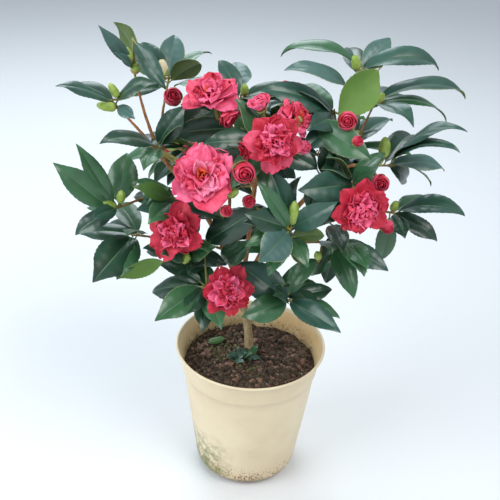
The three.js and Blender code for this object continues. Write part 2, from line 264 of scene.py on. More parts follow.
def ramp(tree, fac, stops):
    made = tree.nodes.new("ShaderNodeValToRGB")
    elements = made.color_ramp.elements
    while len(elements) < len(stops):
        elements.new(0.5)
    for element, (place, colour) in zip(elements, stops):
        element.position = place
        element.color = (*colour, 1)
    tree.links.new(fac, made.inputs[0])
    return made.outputs["Color"]


def noise(tree, scale, detail=4.0, rough=0.55, stretch=None):
    where = tree.nodes.new("ShaderNodeTexCoord").outputs["Object"]
    if stretch is not None:
        mapping = tree.nodes.new("ShaderNodeMapping")
        mapping.inputs["Scale"].default_value = stretch
        tree.links.new(where, mapping.inputs["Vector"])
        where = mapping.outputs["Vector"]
    made = node(tree, "ShaderNodeTexNoise", Scale=scale, Detail=detail, Roughness=rough)
    tree.links.new(where, made.inputs["Vector"])
    return made.outputs["Fac"]


def side_fac(tree, way, low, high):
    """0 on one side and 1 on the other, by the distance along a direction, in metres."""
    where = tree.nodes.new("ShaderNodeTexCoord").outputs["Object"]
    dot = tree.nodes.new("ShaderNodeVectorMath")
    dot.operation = "DOT_PRODUCT"
    dot.inputs[1].default_value = way
    tree.links.new(where, dot.inputs[0])
    span = tree.nodes.new("ShaderNodeMapRange")
    span.inputs["From Min"].default_value = low
    span.inputs["From Max"].default_value = high
    tree.links.new(dot.outputs["Value"], span.inputs["Value"])
    return span.outputs["Result"]


def height_fac(tree, low, high):
    """0 below a height and 1 above another, in metres."""
    return side_fac(tree, (0, 0, 1), low, high)


def math_node(tree, operation, a, b):
    made = tree.nodes.new("ShaderNodeMath")
    made.operation = operation
    made.use_clamp = True
    for socket, value in zip(made.inputs, (a, b)):
        if isinstance(value, (int, float)):
            socket.default_value = value
        else:
            tree.links.new(value, socket)
    return made.outputs[0]


def times(tree, a, b):
    return math_node(tree, "MULTIPLY", a, b)


def mix_colour(tree, fac, a, b):
    made = tree.nodes.new("ShaderNodeMix")
    made.data_type = "RGBA"
    colours = [s for s in made.inputs if s.type == "RGBA"]
    for socket, value in zip(colours, (a, b)):
        if isinstance(value, tuple):
            socket.default_value = (*value, 1)
        else:
            tree.links.new(value, socket)
    if isinstance(fac, (int, float)):
        made.inputs[0].default_value = fac
    else:
        tree.links.new(fac, made.inputs[0])
    return next(s for s in made.outputs if s.type == "RGBA")


def bump(tree, shader, height, strength, distance):
    made = tree.nodes.new("ShaderNodeBump")
    made.inputs["Strength"].default_value = strength
    made.inputs["Distance"].default_value = distance
    tree.links.new(height, made.inputs["Height"])
    tree.links.new(made.outputs[0], shader.inputs["Normal"])


def pot_plastic():
    material, tree, shader = start_material("cream_plastic", (0.80, 0.68, 0.46), 0.40)
    cloudy = ramp(tree, noise(tree, 14), [(0.35, (0.80, 0.67, 0.455)), (0.7, (0.70, 0.565, 0.37))])
    low_down = math_node(tree, "SUBTRACT", 1.0, height_fac(tree, 0.004, 0.040))
    leftward = side_fac(tree, (-0.9, -0.43, 0), -0.14, 0.05)
    thick = times(tree, times(tree, low_down, leftward), noise(tree, 60, 5, 0.7))
    grains = math_node(tree, "ADD", noise(tree, 420, 3, 0.75), times(tree, thick, 0.45))
    specks = times(tree, math_node(tree, "GREATER_THAN", grains, 0.65), times(tree, thick, 5.0))
    stained = mix_colour(tree, times(tree, thick, 0.55), cloudy, (0.66, 0.36, 0.12))
    speckled = mix_colour(tree, times(tree, specks, 0.85), stained, (0.16, 0.085, 0.03))
    damp_side = side_fac(tree, (-0.95, -0.31, 0), 0.030, 0.062)
    damp_height = math_node(tree, "SUBTRACT", 1.0, height_fac(tree, 0.012, 0.078))
    spread = math_node(tree, "SUBTRACT", noise(tree, 110, 6, 0.8), 0.41)
    algae = times(tree, times(tree, damp_side, damp_height), spread)
    green = mix_colour(tree, times(tree, algae, 11.0), speckled, (0.17, 0.185, 0.05))
    scuffs = math_node(tree, "SUBTRACT", noise(tree, 24, 6, 0.8), 0.60)
    scuffed = mix_colour(tree, times(tree, scuffs, 2.2), green, (0.50, 0.40, 0.26))
    tree.links.new(scuffed, shader.inputs["Base Color"])
    bump(tree, shader, noise(tree, 60, 3), 0.12, 0.0004)
    return material


def pot_inside():
    material, tree, shader = start_material("inside_stains_and_painted_light", (0.76, 0.60, 0.38), 0.5)
    splashed = math_node(tree, "SUBTRACT", 1.0, height_fac(tree, 0.141, 0.158))
    patches = math_node(tree, "SUBTRACT", times(tree, noise(tree, 60, 5, 0.7), 1.6), 0.5)
    stain = times(tree, times(tree, splashed, patches), noise(tree, 190, 4, 0.8))
    # The inside's base is painted lighter and warmer than the outer plastic: painted light on a wall the
    # crown shades.
    base = ramp(tree, noise(tree, 30), [(0.3, (0.98, 0.80, 0.48)), (0.7, (0.94, 0.68, 0.35))])
    # Towards the right back the inside is made darker and more orange.
    towards_right_back = times(tree, side_fac(tree, (0.7, 0.7, 0), 0.02, 0.075), noise(tree, 40, 4))
    right_back_darkened = mix_colour(tree, towards_right_back, base, (0.66, 0.40, 0.16))
    soiled = mix_colour(tree, times(tree, stain, 2.2), right_back_darkened, (0.16, 0.09, 0.04))
    specks = math_node(tree, "GREATER_THAN", noise(tree, 260, 2, 0.6), 0.60)
    spotted = mix_colour(tree, times(tree, specks, splashed), soiled, (0.04, 0.025, 0.012))
    tree.links.new(spotted, shader.inputs["Base Color"])
    bump(tree, shader, noise(tree, 240, 3), 0.25, 0.0004)
    return material


def make_pot():
    pot = lathe("pot_shell", pot_outline(), POT_SIDES, 0.003)
    drill_drains(pot)
    pot.data.materials.append(pot_plastic())
    pot.data.materials.append(pot_inside())
    for face in pot.data.polygons:
        face.use_smooth = True
        middle = face.center
        outward = Vector((middle.x, middle.y, 0)).dot(face.normal) < 0
        if outward and POT_FLOOR * 1.5 < middle.z < pot_height - 2.5 * MM:
            face.material_index = 1
    pot.data.set_sharp_from_angle(angle=POT_SHARP_ANGLE)
    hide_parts("pot")
    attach(pot, "root")


make_pot()


# ---- Potting soil ----
# Damp dark compost, heaped a little round the stem and crumbling at the edge, with bark
# chips, grit and moss on it. It is filled to about an inch under the lip.
SOIL_RINGS = 60
SOIL_TURNS = 160
CRUMBS = 2200
CRUMB_SEED = 11
# Kinds of crumb with a shape or a place of their own, by their turn in the materials.
CHIP, MOSS, FIBRE = 1, 3, 4
STEM_CLEARANCE = 8 * MM
# The middle of each patch of moss, and how far it spreads, in metres.
MOSS_PATCHES = ((-0.016, -0.006, 0.007), (-0.030, 0.010, 0.007), (0.006, -0.020, 0.010),
                (-0.044, 0.024, 0.008), (-0.020, 0.030, 0.008))
soil_low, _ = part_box("soil")
trunk_low, trunk_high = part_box("trunk")
soil_level = trunk_low.z
trunk_foot = Vector(((trunk_high.x + trunk_low.x) / 2, (trunk_low.y + trunk_high.y) / 2, soil_level))


def waves(x, y, seed, scale, octaves):
    """A smooth seeded unevenness between about -1 and 1."""
    chance = np.random.default_rng(seed)
    total = np.zeros_like(x)
    for octave in range(octaves):
        for _ in range(5):
            turn = chance.uniform(0, 2 * math.pi)
            way = (math.cos(turn), math.sin(turn))
            phase = chance.uniform(0, 2 * math.pi)
            frequency = 2 ** octave / scale
            total += np.sin((x * way[0] + y * way[1]) * frequency + phase) / (5 * 1.7 ** octave)
    return total


def soil_height(x, y):
    x, y = np.asarray(x, float), np.asarray(y, float)
    from_stem = np.hypot(x - trunk_foot.x, y - trunk_foot.y)
    heap = 2.5 * MM * np.exp(-(from_stem / (16 * MM)) ** 2)
    dip = -2.5 * MM * np.clip(np.hypot(x, y) / wall_radius(soil_level) - 0.75, 0, 1) * 4
    return soil_level + heap + dip + waves(x, y, 5, 9 * MM, 3) * 4.0 * MM


def mesh_piece(name, verts, quads, marks, materials):
    """One mesh object from arrays: corners, four-cornered faces, and each face's material."""
    mesh = bpy.data.meshes.new(name)
    verts = np.asarray(verts, np.float32)
    quads = np.asarray(quads, np.int32)
    mesh.vertices.add(len(verts))
    mesh.vertices.foreach_set("co", verts.ravel())
    mesh.loops.add(quads.size)
    mesh.loops.foreach_set("vertex_index", quads.ravel())
    mesh.polygons.add(len(quads))
    mesh.polygons.foreach_set("loop_start", np.arange(0, quads.size, 4, dtype=np.int32))
    mesh.polygons.foreach_set("material_index", np.asarray(marks, np.int32))
    mesh.polygons.foreach_set("use_smooth", np.ones(len(quads), bool))
    mesh.update(calc_edges=True)
    mesh.validate()
    for material in materials:
        mesh.materials.append(material)
    piece = bpy.data.objects.new(name, mesh)
    bpy.context.scene.collection.objects.link(piece)
    return piece


def join_parts(parts):
    """Several (corners, faces, marks) as one."""
    verts, quads, marks, count = [], [], [], 0
    for v, q, m in parts:
        verts.append(v)
        quads.append(q + count)
        marks.append(m)
        count += len(v)
    return np.concatenate(verts), np.concatenate(quads), np.concatenate(marks)


def soil_material():
    material, tree, shader = start_material("damp_compost", (0.045, 0.03, 0.018), 0.95)
    stops = [(0.3, (0.020, 0.013, 0.008)), (0.5, (0.065, 0.042, 0.026)),
             (0.66, (0.16, 0.11, 0.065)), (0.78, (0.28, 0.21, 0.13))]
    mottled = ramp(tree, noise(tree, 240, 6, 0.75), stops)
    tree.links.new(mottled, shader.inputs["Base Color"])
    bump(tree, shader, noise(tree, 420, 4, 0.7), 0.9, 0.0012)
    return material


def crumb_material(name, dark, light):
    material, tree, shader = start_material(name, dark, 0.9)
    mottled = ramp(tree, noise(tree, 160, 3), [(0.35, dark), (0.65, light)])
    tree.links.new(mottled, shader.inputs["Base Color"])
    bump(tree, shader, noise(tree, 700, 3), 0.6, 0.0005)
    return material


def soil_body():
    """The heaped top, and a plain side and underside just inside the pot."""
    turns = np.linspace(0, 2 * math.pi, SOIL_TURNS, endpoint=False)
    inner = wall_radius(soil_level) - POT_WALL - 0.5 * MM
    shares = np.linspace(0.01, 1, SOIL_RINGS) ** 0.8
    x = shares[:, None] * inner * np.cos(turns)
    y = shares[:, None] * inner * np.sin(turns)
    verts = [np.stack([x, y, soil_height(x, y)], -1).reshape(-1, 3)]
    low = soil_low.z + 0.5 * MM
    shrink = POT_WALL + 0.7 * MM
    side = [(wall_radius(height) - shrink, height) for height in (soil_level * 0.6, FOOT_CORNER * 1.1)]
    for radius, height in [*side, (FOOT_FLAT, low), (0.5 * MM, low)]:
        level = np.full(SOIL_TURNS, height)
        verts.append(np.stack([radius * np.cos(turns), radius * np.sin(turns), level], -1))
    rings = SOIL_RINGS + 4
    index = np.arange(rings * SOIL_TURNS).reshape(rings, SOIL_TURNS)
    following = np.roll(index, -1, 1)
    quads = np.stack([index[:-1], index[1:], following[1:], following[:-1]], -1).reshape(-1, 4)
    return np.concatenate(verts), quads, np.zeros(len(quads), int)


def pebble(place, size, chance, spread):
    """A small lump: a cube of twenty-four faces, rounded and knocked out of true."""
    steps = np.linspace(-1, 1, 3)
    verts, quads = [], []
    for axis in range(3):
        for side in (-1, 1):
            start = len(verts)
            for u in steps:
                for v in steps:
                    p = np.insert(np.array([u, v]), axis, side)
                    verts.append(p / np.linalg.norm(p))
            for i in range(2):
                for j in range(2):
                    a = start + i * 3 + j
                    quad = [a, a + 3, a + 4, a + 1]
                    quads.append(quad if (side > 0) == (axis != 1) else quad[::-1])
    verts = np.array(verts)
    keys, back = np.unique(np.round(verts, 4), axis=0, return_inverse=True)
    quads = back.reshape(-1)[np.array(quads)]
    knocked = keys * (1 + chance.uniform(-0.32, 0.32, (len(keys), 1)))
    turn = Matrix.Rotation(chance.uniform(0, 6.3), 3, "Z")
    tilt = turn @ Matrix.Rotation(chance.uniform(-0.6, 0.6), 3, "Y")
    return (knocked * size * np.array(spread)) @ np.array(tilt).T + place, quads


def scatter_crumbs(chance):
    """Crumbs, chips, grit and fibres all over, with moss in patches."""
    parts = []
    inner = wall_radius(soil_level) - POT_WALL
    for _ in range(CRUMBS):
        kind = chance.choice(5, p=[0.44, 0.22, 0.02, 0.20, 0.12])
        sizes = (0.9 + 3.4 * chance.random() ** 3, 1.1 + 3.4 * chance.random() ** 2,
                 chance.uniform(0.5, 1.0), chance.uniform(0.6, 1.6), chance.uniform(1.0, 3.4))
        size = sizes[kind] * MM
        reach = (inner - 1.5 * size) * math.sqrt(chance.uniform(0, 1))
        turn = chance.uniform(0, 2 * math.pi)
        x, y = reach * math.cos(turn), reach * math.sin(turn)
        if kind == MOSS:
            mx, my, spread = MOSS_PATCHES[chance.integers(len(MOSS_PATCHES))]
            x, y = mx + chance.normal(0, spread), my + chance.normal(0, spread)
            if math.hypot(x, y) > inner - 3 * MM:
                continue
        if math.hypot(x - trunk_foot.x, y - trunk_foot.y) < STEM_CLEARANCE:
            continue
        spread = {CHIP: (1, 0.7, 0.35), FIBRE: (1, 0.22, 0.2)}.get(kind, (1, 0.8, 0.75))
        place = np.array([x, y, float(soil_height(x, y)) + size * 0.2])
        verts, quads = pebble(place, size, chance, spread)
        parts.append((verts, quads, np.full(len(quads), kind)))
    return join_parts(parts)


def make_soil():
    soil = mesh_piece("soil_bed", *soil_body(), [soil_material()])
    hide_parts("soil")
    kinds = [
        crumb_material("compost_crumb", (0.028, 0.018, 0.011), (0.105, 0.068, 0.044)),
        crumb_material("bark_chip", (0.085, 0.038, 0.026), (0.27, 0.155, 0.105)),
        crumb_material("pale_grit", (0.34, 0.31, 0.26), (0.52, 0.48, 0.42)),
        crumb_material("moss_bit", (0.05, 0.072, 0.02), (0.165, 0.195, 0.06)),
        crumb_material("dry_fibre", (0.14, 0.09, 0.06), (0.36, 0.27, 0.20)),
    ]
    crumbs = mesh_piece("soil_crumbs", *scatter_crumbs(np.random.default_rng(CRUMB_SEED)), kinds)
    for piece in (soil, crumbs):
        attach(piece, "root")


make_soil()


# ---- Trunk, leaders and boughs ----
# One woody frame: a short tan trunk, three leaders from its fork, and a bough to each shoot.
# Every limb follows its own solid, runs into its parent, and goes on to its whorl of leaves.
# The joints are run together, and the bark has a fine lengthwise relief.
LEADERS = ("leader_left", "leader_right", "leader_back")
BOUGHS = {
    "leader_left": ("top_left", "top_left_inner", "left_upper", "left_inner", "left_mid", "left_centre",
                    "left_bottom", "left_low", "front_left", "centre_top"),
    "leader_right": ("front_right", "centre_front", "centre_high", "top_right", "right_upper", "right_mid",
                     "centre_right", "right_low", "right_bottom"),
    "leader_back": ("back_top", "back_left", "back_right", "back_centre", "back_low"),
    "centre_top": ("centre_mid",),
}
# Where each whorl sits, as shares of its mass's box. A separate script worked these out from
# the part's own whorls.
WHORL_SHARES = {
    "top_left": (0.49, 0.49, 0.31), "top_left_inner": (0.51, 0.36, 0.39), "left_upper": (0.58, 0.56, 0.41),
    "left_inner": (0.48, 0.64, 0.33), "left_mid": (0.63, 0.47, 0.34), "left_centre": (0.45, 0.67, 0.51),
    "left_bottom": (0.60, 0.67, 0.47), "left_low": (0.70, 0.56, 0.51), "front_left": (0.57, 0.65, 0.49),
    "front_right": (0.47, 0.51, 0.40), "centre_front": (0.51, 0.61, 0.39), "centre_mid": (0.51, 0.63, 0.51),
    "centre_top": (0.55, 0.61, 0.44), "centre_high": (0.69, 0.58, 0.46), "top_right": (0.48, 0.50, 0.46),
    "right_upper": (0.20, 0.50, 0.53), "right_mid": (0.31, 0.42, 0.34), "centre_right": (0.60, 0.64, 0.52),
    "right_low": (0.28, 0.53, 0.50), "right_bottom": (0.36, 0.65, 0.68), "back_top": (0.51, 0.44, 0.49),
    "back_left": (0.67, 0.39, 0.50), "back_right": (0.34, 0.40, 0.50), "back_centre": (0.51, 0.35, 0.51),
    "back_low": (0.49, 0.33, 0.51),
}
TWIG_TIP_RADIUS = 1.15 * MM
TWIG_BEYOND_WHORL = 9 * MM
BARK_VOXEL = 0.82 * MM
BARK_RELIEF = 0.16 * MM
TRUNK_BARK_ABOVE_FORK = 12 * MM
YOUNG_BARK_REACH = 22 * MM
TRUNK_SIDES = 16
LIMB_STEP = 3 * MM
OPEN_MASSES = ("top_left", "top_left_inner", "left_upper", "left_inner", "left_mid", "left_low", "top_right",
               "right_upper", "right_mid", "right_low")
FRONT_TWIGS = -0.045
SIDE_TWIG_GAP = {"leader": 19 * MM, "bough": 26 * MM}
GOLDEN_TURN = math.radians(137.5)
TWIG_SEED = 41


def whorl_of(shoot):
    low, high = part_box(f"leaves_{shoot}")
    share = np.array(WHORL_SHARES[shoot])
    return np.array(low) + (np.array(high) - np.array(low)) * share


def unit(way):
    way = np.asarray(way, float)
    return way / np.linalg.norm(way)


def fit_limb(name, start_near, degree):
    """A limb's middle line and its radius, as functions of the share of its length."""
    corners = np.array([corner.co[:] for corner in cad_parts[name].data.vertices])
    middle = corners.mean(0)
    way = np.linalg.svd(corners - middle, full_matrices=False)[2][0]
    if np.dot(np.asarray(start_near) - middle, way) > 0:
        way = -way
    along = (corners - middle) @ way
    share = (along - along.min()) / np.ptp(along)
    shape = np.polyfit(share, corners, degree)

    def line(at):
        return np.vander(np.atleast_1d(at), degree + 1) @ shape

    thickness = np.linalg.norm(corners - line(share), axis=1)
    outer = thickness > 0.5 * np.median(thickness)
    swell = np.polyfit(share[outer], thickness[outer], min(degree, 3))
    return line, lambda at: np.polyval(swell, at)


def smooth_run(points, step):
    """Evenly spaced places along a smooth curve through a few points."""
    points = np.asarray(points, float)
    gaps = np.linalg.norm(np.diff(points, axis=0), axis=1)
    at = np.concatenate([[0], np.cumsum(gaps)])
    slopes = np.gradient(points, at, axis=0)
    places = np.linspace(0, at[-1], max(4, int(at[-1] / step) + 1))
    k = np.clip(np.searchsorted(at, places, "right") - 1, 0, len(gaps) - 1)
    gap = gaps[k][:, None]
    s = ((places - at[k]) / gaps[k])[:, None]
    start_pull = (s ** 3 - 2 * s ** 2 + s) * gap * slopes[k]
    end_pull = (s ** 3 - s ** 2) * gap * slopes[k + 1]
    between = (2 * s ** 3 - 3 * s ** 2 + 1) * points[k] + (3 * s ** 2 - 2 * s ** 3) * points[k + 1]
    return between + start_pull + end_pull


def tube(points, radii, sides, mark):
    """A closed round limb along some places, with a domed end at each."""
    points = np.asarray(points, float)
    radii = np.broadcast_to(radii, len(points)).astype(float)
    tangent = np.gradient(points, axis=0)
    tangent /= np.linalg.norm(tangent, axis=1)[:, None]
    aside = np.eye(3)[np.argmin(np.abs(points[-1] - points[0]))]
    over = np.cross(tangent, aside)
    over /= np.linalg.norm(over, axis=1)[:, None]
    across = np.cross(over, tangent)
    points = np.concatenate([[points[0] - tangent[0] * radii[0] * 0.5], points,
                             [points[-1] + tangent[-1] * radii[-1] * 0.5]])
    radii = np.concatenate([[radii[0] * 0.5], radii, [radii[-1] * 0.5]])
    over = np.concatenate([over[:1], over, over[-1:]])
    across = np.concatenate([across[:1], across, across[-1:]])
    turns = 2 * math.pi * np.arange(sides) / sides
    ring = np.cos(turns)[None, :, None] * across[:, None] + np.sin(turns)[None, :, None] * over[:, None]
    verts = points[:, None] + ring * radii[:, None, None]
    index = np.arange(len(points) * sides).reshape(len(points), sides)
    following = np.roll(index, -1, 1)
    sleeve = np.stack([index[:-1], following[:-1], following[1:], index[1:]], -1).reshape(-1, 4)
    caps = []
    for i in range(sides // 2 - 1):
        flat = [i, i + 1, sides - 2 - i, sides - 1 - i]
        caps.append([index[0][c] for c in reversed(flat)])
        caps.append([index[-1][c] for c in flat])
    quads = np.concatenate([sleeve, np.array(caps)])
    return verts.reshape(-1, 3), quads, np.full(len(quads), mark)


def nearest_on(run, place):
    return run[np.argmin(np.linalg.norm(run - place, axis=1))]


def home_of(place, room):
    """The mass of leaves that a place lies in, if any, the one with the nearest whorl."""
    homes = []
    for shoot in WHORL_SHARES:
        low, high = (np.array(corner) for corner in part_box(f"leaves_{shoot}"))
        if np.all(place > low + room) and np.all(place < high - room):
            homes.append((np.linalg.norm(place - whorl_of(shoot)), shoot))
    return min(homes)[1] if homes else None


def side_twigs(runs, chance):
    """Short twigs up the leaders and boughs at the golden turn, inside the crown's full masses."""
    twigs = []
    for parent in (*LEADERS, *WHORL_SHARES):
        run = runs[parent]
        gap = SIDE_TWIG_GAP["leader" if parent in LEADERS else "bough"]
        length = LIMB_STEP * (len(run) - 1)
        turn = chance.uniform(0, 6.3)
        for at in np.arange(0.30 * length, 0.88 * length, gap):
            i = max(1, int(at / LIMB_STEP))
            along = unit(run[i + 1] - run[i - 1])
            aside = unit(np.cross(along, (0.2, 0.3, 1.0)))
            over = np.cross(along, aside)
            turn += GOLDEN_TURN
            spread = aside * math.cos(turn) + over * math.sin(turn)
            way = unit(spread * 0.85 + along * 0.4 + np.array([0, 0, 0.3]))
            reach = chance.uniform(22, 40) * MM
            tip = run[i] + way * reach
            home = home_of(tip, 7 * MM)
            if home is None or home in OPEN_MASSES or tip[1] < FRONT_TWIGS:
                continue
            bow = run[i] + way * reach * 0.5 + np.array([0, 0, -0.07 * reach])
            twigs.append((home, smooth_run([run[i], bow, tip], LIMB_STEP)))
    return twigs


def grow_limbs():
    """Each limb's run of places, and the tubes that make it."""
    runs, parts = {}, []
    foot = np.array(trunk_foot)
    line, swell = fit_limb("trunk", foot, 4)
    shares = np.linspace(0, 1, 40)
    runs["trunk"] = line(shares)
    parts.append(tube(runs["trunk"], swell(shares), TRUNK_SIDES, 0))
    fork = runs["trunk"][-1]
    for name in LEADERS:
        line, swell = fit_limb(name, fork, 3)
        run = smooth_run([runs["trunk"][-4], *line([0.04, 0.2, 0.4, 0.6, 0.8, 1.0])], LIMB_STEP)
        runs[name] = run
        parts.append(tube(run, swell(np.linspace(0, 1, len(run))), 10, 0))
    for parent, shoots in BOUGHS.items():
        for shoot in shoots:
            whorl = whorl_of(shoot)
            line, swell = fit_limb(f"bough_{shoot}", 2 * runs[parent].mean(0) - whorl, 1)
            seen = line([0.0, 1.0])
            if np.linalg.norm(seen[0] - whorl) < np.linalg.norm(seen[1] - whorl):
                seen = seen[::-1]
            start = nearest_on(runs[parent], seen[0])
            outward = unit(whorl - seen[1]) * 0.6 + unit(seen[1] - seen[0]) * 0.4
            beyond = whorl + unit(outward) * TWIG_BEYOND_WHORL
            run = smooth_run([start, seen.mean(0), whorl, beyond], LIMB_STEP)
            thick = max(float(swell(0.0)), TWIG_TIP_RADIUS * 1.3)
            taper = np.linspace(min(thick, 2.4 * MM), TWIG_TIP_RADIUS, len(run))
            knuckles = 1 + 0.16 * (np.sin(np.arange(len(run)) * 1.3) > 0.93)
            runs[shoot] = run
            parts.append(tube(run, taper * knuckles, 8, 0))
    twigs = side_twigs(runs, np.random.default_rng(TWIG_SEED))
    for _, run in twigs:
        parts.append(tube(run, np.linspace(1.35 * MM, TWIG_TIP_RADIUS * 0.85, len(run)), 6, 0))
    return runs, twigs, parts


def bark_material(name, dark, light, grain, strength):
    material, tree, shader = start_material(name, dark, 0.78)
    streaks = noise(tree, 260, 5, 0.7, stretch=(1.0, 1.0, grain))
    tree.links.new(ramp(tree, streaks, [(0.32, dark), (0.68, light)]), shader.inputs["Base Color"])
    bump(tree, shader, noise(tree, 520, 4, 0.7, stretch=(1.0, 1.0, grain)), strength, 0.0006)
    return material


def paint(red, green, blue):
    """A colour out of 255, turned to linear light."""
    return tuple(((c / 255 + 0.055) / 1.055) ** 2.4 for c in (red, green, blue))


def make_limbs():
    runs, twigs, parts = grow_limbs()
    kinds = [bark_material("trunk_bark", paint(146, 122, 86), paint(206, 182, 142), 0.35, 0.9),
             bark_material("bough_bark", paint(134, 82, 48), paint(190, 136, 88), 0.5, 0.5),
             bark_material("young_bark", paint(118, 104, 50), paint(160, 128, 74), 0.5, 0.3)]
    limbs = mesh_piece("trunk_and_boughs", *join_parts(parts), kinds)
    remesh = limbs.modifiers.new("run_together", "REMESH")
    remesh.mode = "VOXEL"
    remesh.voxel_size = BARK_VOXEL
    smooth = limbs.modifiers.new("soften", "SMOOTH")
    smooth.iterations = 2
    apply_modifiers(limbs)
    mesh = limbs.data
    count = len(mesh.vertices)
    place = np.empty(count * 3, np.float32)
    normal = np.empty(count * 3, np.float32)
    mesh.vertices.foreach_get("co", place)
    mesh.vertex_normals.foreach_get("vector", normal)
    place, normal = place.reshape(-1, 3), normal.reshape(-1, 3)
    ridges = waves(place[:, 0] + place[:, 1] * 0.6, place[:, 1] * 0.8 + place[:, 2] * 0.25, 21, 1.1 * MM, 2)
    near_foot = np.exp(-np.clip(place[:, 2] - soil_level, 0, 1) / (60 * MM))
    moved = place + normal * (ridges * BARK_RELIEF * (1 + 1.2 * near_foot))[:, None]
    moved[:, 2] = np.maximum(moved[:, 2], np.minimum(place[:, 2], soil_level))
    mesh.vertices.foreach_set("co", moved.astype(np.float32).ravel())
    mesh.update()
    middles = np.empty(len(mesh.polygons) * 3, np.float32)
    mesh.polygons.foreach_get("center", middles)
    middles = middles.reshape(-1, 3)
    tips = np.array([runs[shoot][-1] for shoot in WHORL_SHARES] + [run[-1] for _, run in twigs])
    from_tip = np.min([np.linalg.norm(middles - tip, axis=1) for tip in tips], axis=0)
    trunk_top = runs["trunk"][-1][2] + TRUNK_BARK_ABOVE_FORK
    fray = waves(middles[:, 0], middles[:, 2], 8, 4 * MM, 2) * 6 * MM
    older = np.where(middles[:, 2] + fray < trunk_top, 0, 1)
    marks = np.where(from_tip + fray < YOUNG_BARK_REACH, 2, older)
    mesh.polygons.foreach_set("material_index", marks.astype(np.int32))
    mesh.polygons.foreach_set("use_smooth", np.ones(len(marks), bool))
    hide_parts("trunk", *LEADERS, *(f"bough_{shoot}" for shoot in WHORL_SHARES))
    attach(limbs, "root")
    return runs, twigs


limb_runs, twig_runs = make_limbs()


# ---- Blooms ----
# Loose double camellias: a ring of broad notched guard petals, smaller and more ruffled ones
# inside, crimson to rose, with a warm throat. Each is held by green sepals on a short stalk.
PETAL_ROWS = 10
PETAL_COLUMNS = 9
PETAL_THICKNESS = 0.5 * MM
BLOOM_SEPALS = 6
SHARP_ANGLE = math.radians(60)
BLOOM_SEED = 300
BLOOM_TONES = ("crimson", "rose", "pink", "pale", "throat", "sepal", "sepal_dry", "stalk")
# Rings from the outside in: petals, length and breadth as shares of the bloom's radius, the
# angle from the axis at the foot and at the edge, cupping, and ruffle in mm.
RINGS = {
    "open": ((6, 1.06, 0.84, 56, 102, 0.5, 3.4), (6, 0.88, 0.72, 44, 88, 0.8, 3.6),
             (8, 0.78, 0.46, 34, 76, 1.1, 3.6), (7, 0.66, 0.38, 22, 60, 1.2, 3.4),
             (5, 0.46, 0.32, 6, 34, 1.3, 2.4)),
    "ruffled": ((8, 1.03, 0.66, 62, 112, 0.6, 1.9), (7, 0.82, 0.62, 48, 92, 0.8, 2.6),
                (9, 0.74, 0.42, 38, 78, 1.1, 3.0), (9, 0.68, 0.36, 24, 58, 1.2, 3.2),
                (8, 0.60, 0.32, 10, 34, 1.3, 3.2), (5, 0.50, 0.26, -2, 12, 1.3, 2.2)),
    "cupped": ((6, 1.00, 0.95, 24, 62, 1.0, 1.2), (6, 0.94, 0.86, 18, 46, 1.2, 1.2),
               (5, 0.84, 0.74, 12, 32, 1.3, 1.4), (4, 0.70, 0.60, 4, 20, 1.4, 1.4)),
}
# The shoot it grows on, its middle from the whorl in mm, the way it looks, its radius in mm,
# its form, and the tones of its outer and inner petals. Most of the places in front started
# from numbers that a separate script worked out, and most of those were then moved a little.
BLOOMS = (
    ("left_inner", (46, -55, 0), (-0.10, -0.80, 0.60), 34.5, "open", ("pink", "pink", "rose"),
     ("pink", "pale", "rose")),
    ("centre_mid", (10, -32, 15), (0.12, -0.92, 0.38), 28.5, "ruffled", ("crimson", "crimson", "rose"),
     ("rose", "pink", "crimson", "pink")),
    ("left_centre", (3, -45, -12), (-0.10, -0.86, 0.38), 28, "ruffled", ("crimson", "crimson"),
     ("rose", "crimson", "pink")),
    ("front_left", (24, -30, 14), (0.12, -0.90, 0.42), 28, "ruffled", ("crimson", "crimson"),
     ("rose", "crimson", "pink")),
    ("centre_right", (7, -42, -6), (0.12, -0.90, 0.14), 29, "ruffled", ("crimson", "crimson"),
     ("rose", "pink")),
    ("centre_top", (-25, -66, 26), (-0.22, -0.34, 0.92), 28, "open", ("pink", "rose"),
     ("rose", "pink", "crimson")),
    ("centre_top", (-10, -76, 12), (0.55, -0.55, -0.45), 17, "cupped", ("rose", "crimson"), ("crimson",)),
    ("centre_mid", (30, 2, 26), (0.65, -0.35, 0.65), 20, "open", ("rose", "pink"), ("rose", "crimson")),
    ("centre_mid", (-14, -16, -2), (-0.75, -0.60, 0.10), 16, "cupped", ("crimson", "rose"), ("crimson",)),
    ("centre_mid", (-4, 4, 34), (-0.30, -0.30, 0.90), 15, "cupped", ("pink", "rose"), ("pink",)),
    ("back_top", (10, 34, 16), (0.10, 0.75, 0.65), 28, "open", ("rose", "pink"), ("rose", "crimson")),
    ("back_left", (-14, 40, -10), (-0.35, 0.85, 0.40), 28, "ruffled", ("crimson", "rose"),
     ("crimson", "rose")),
    ("back_right", (2, 42, -24), (0.30, 0.86, 0.34), 27, "ruffled", ("crimson", "crimson"),
     ("rose", "pink")),
    ("back_centre", (4, 44, -8), (0.0, 0.92, 0.35), 28, "ruffled", ("crimson", "crimson"),
     ("crimson", "rose")),
)


def own_frame(axis):
    """Two level directions about an axis, and the axis, right-handed."""
    axis = unit(axis)
    first = unit(np.cross(axis, (0.31, 0.12, 0.94)))
    return first, np.cross(axis, first), axis


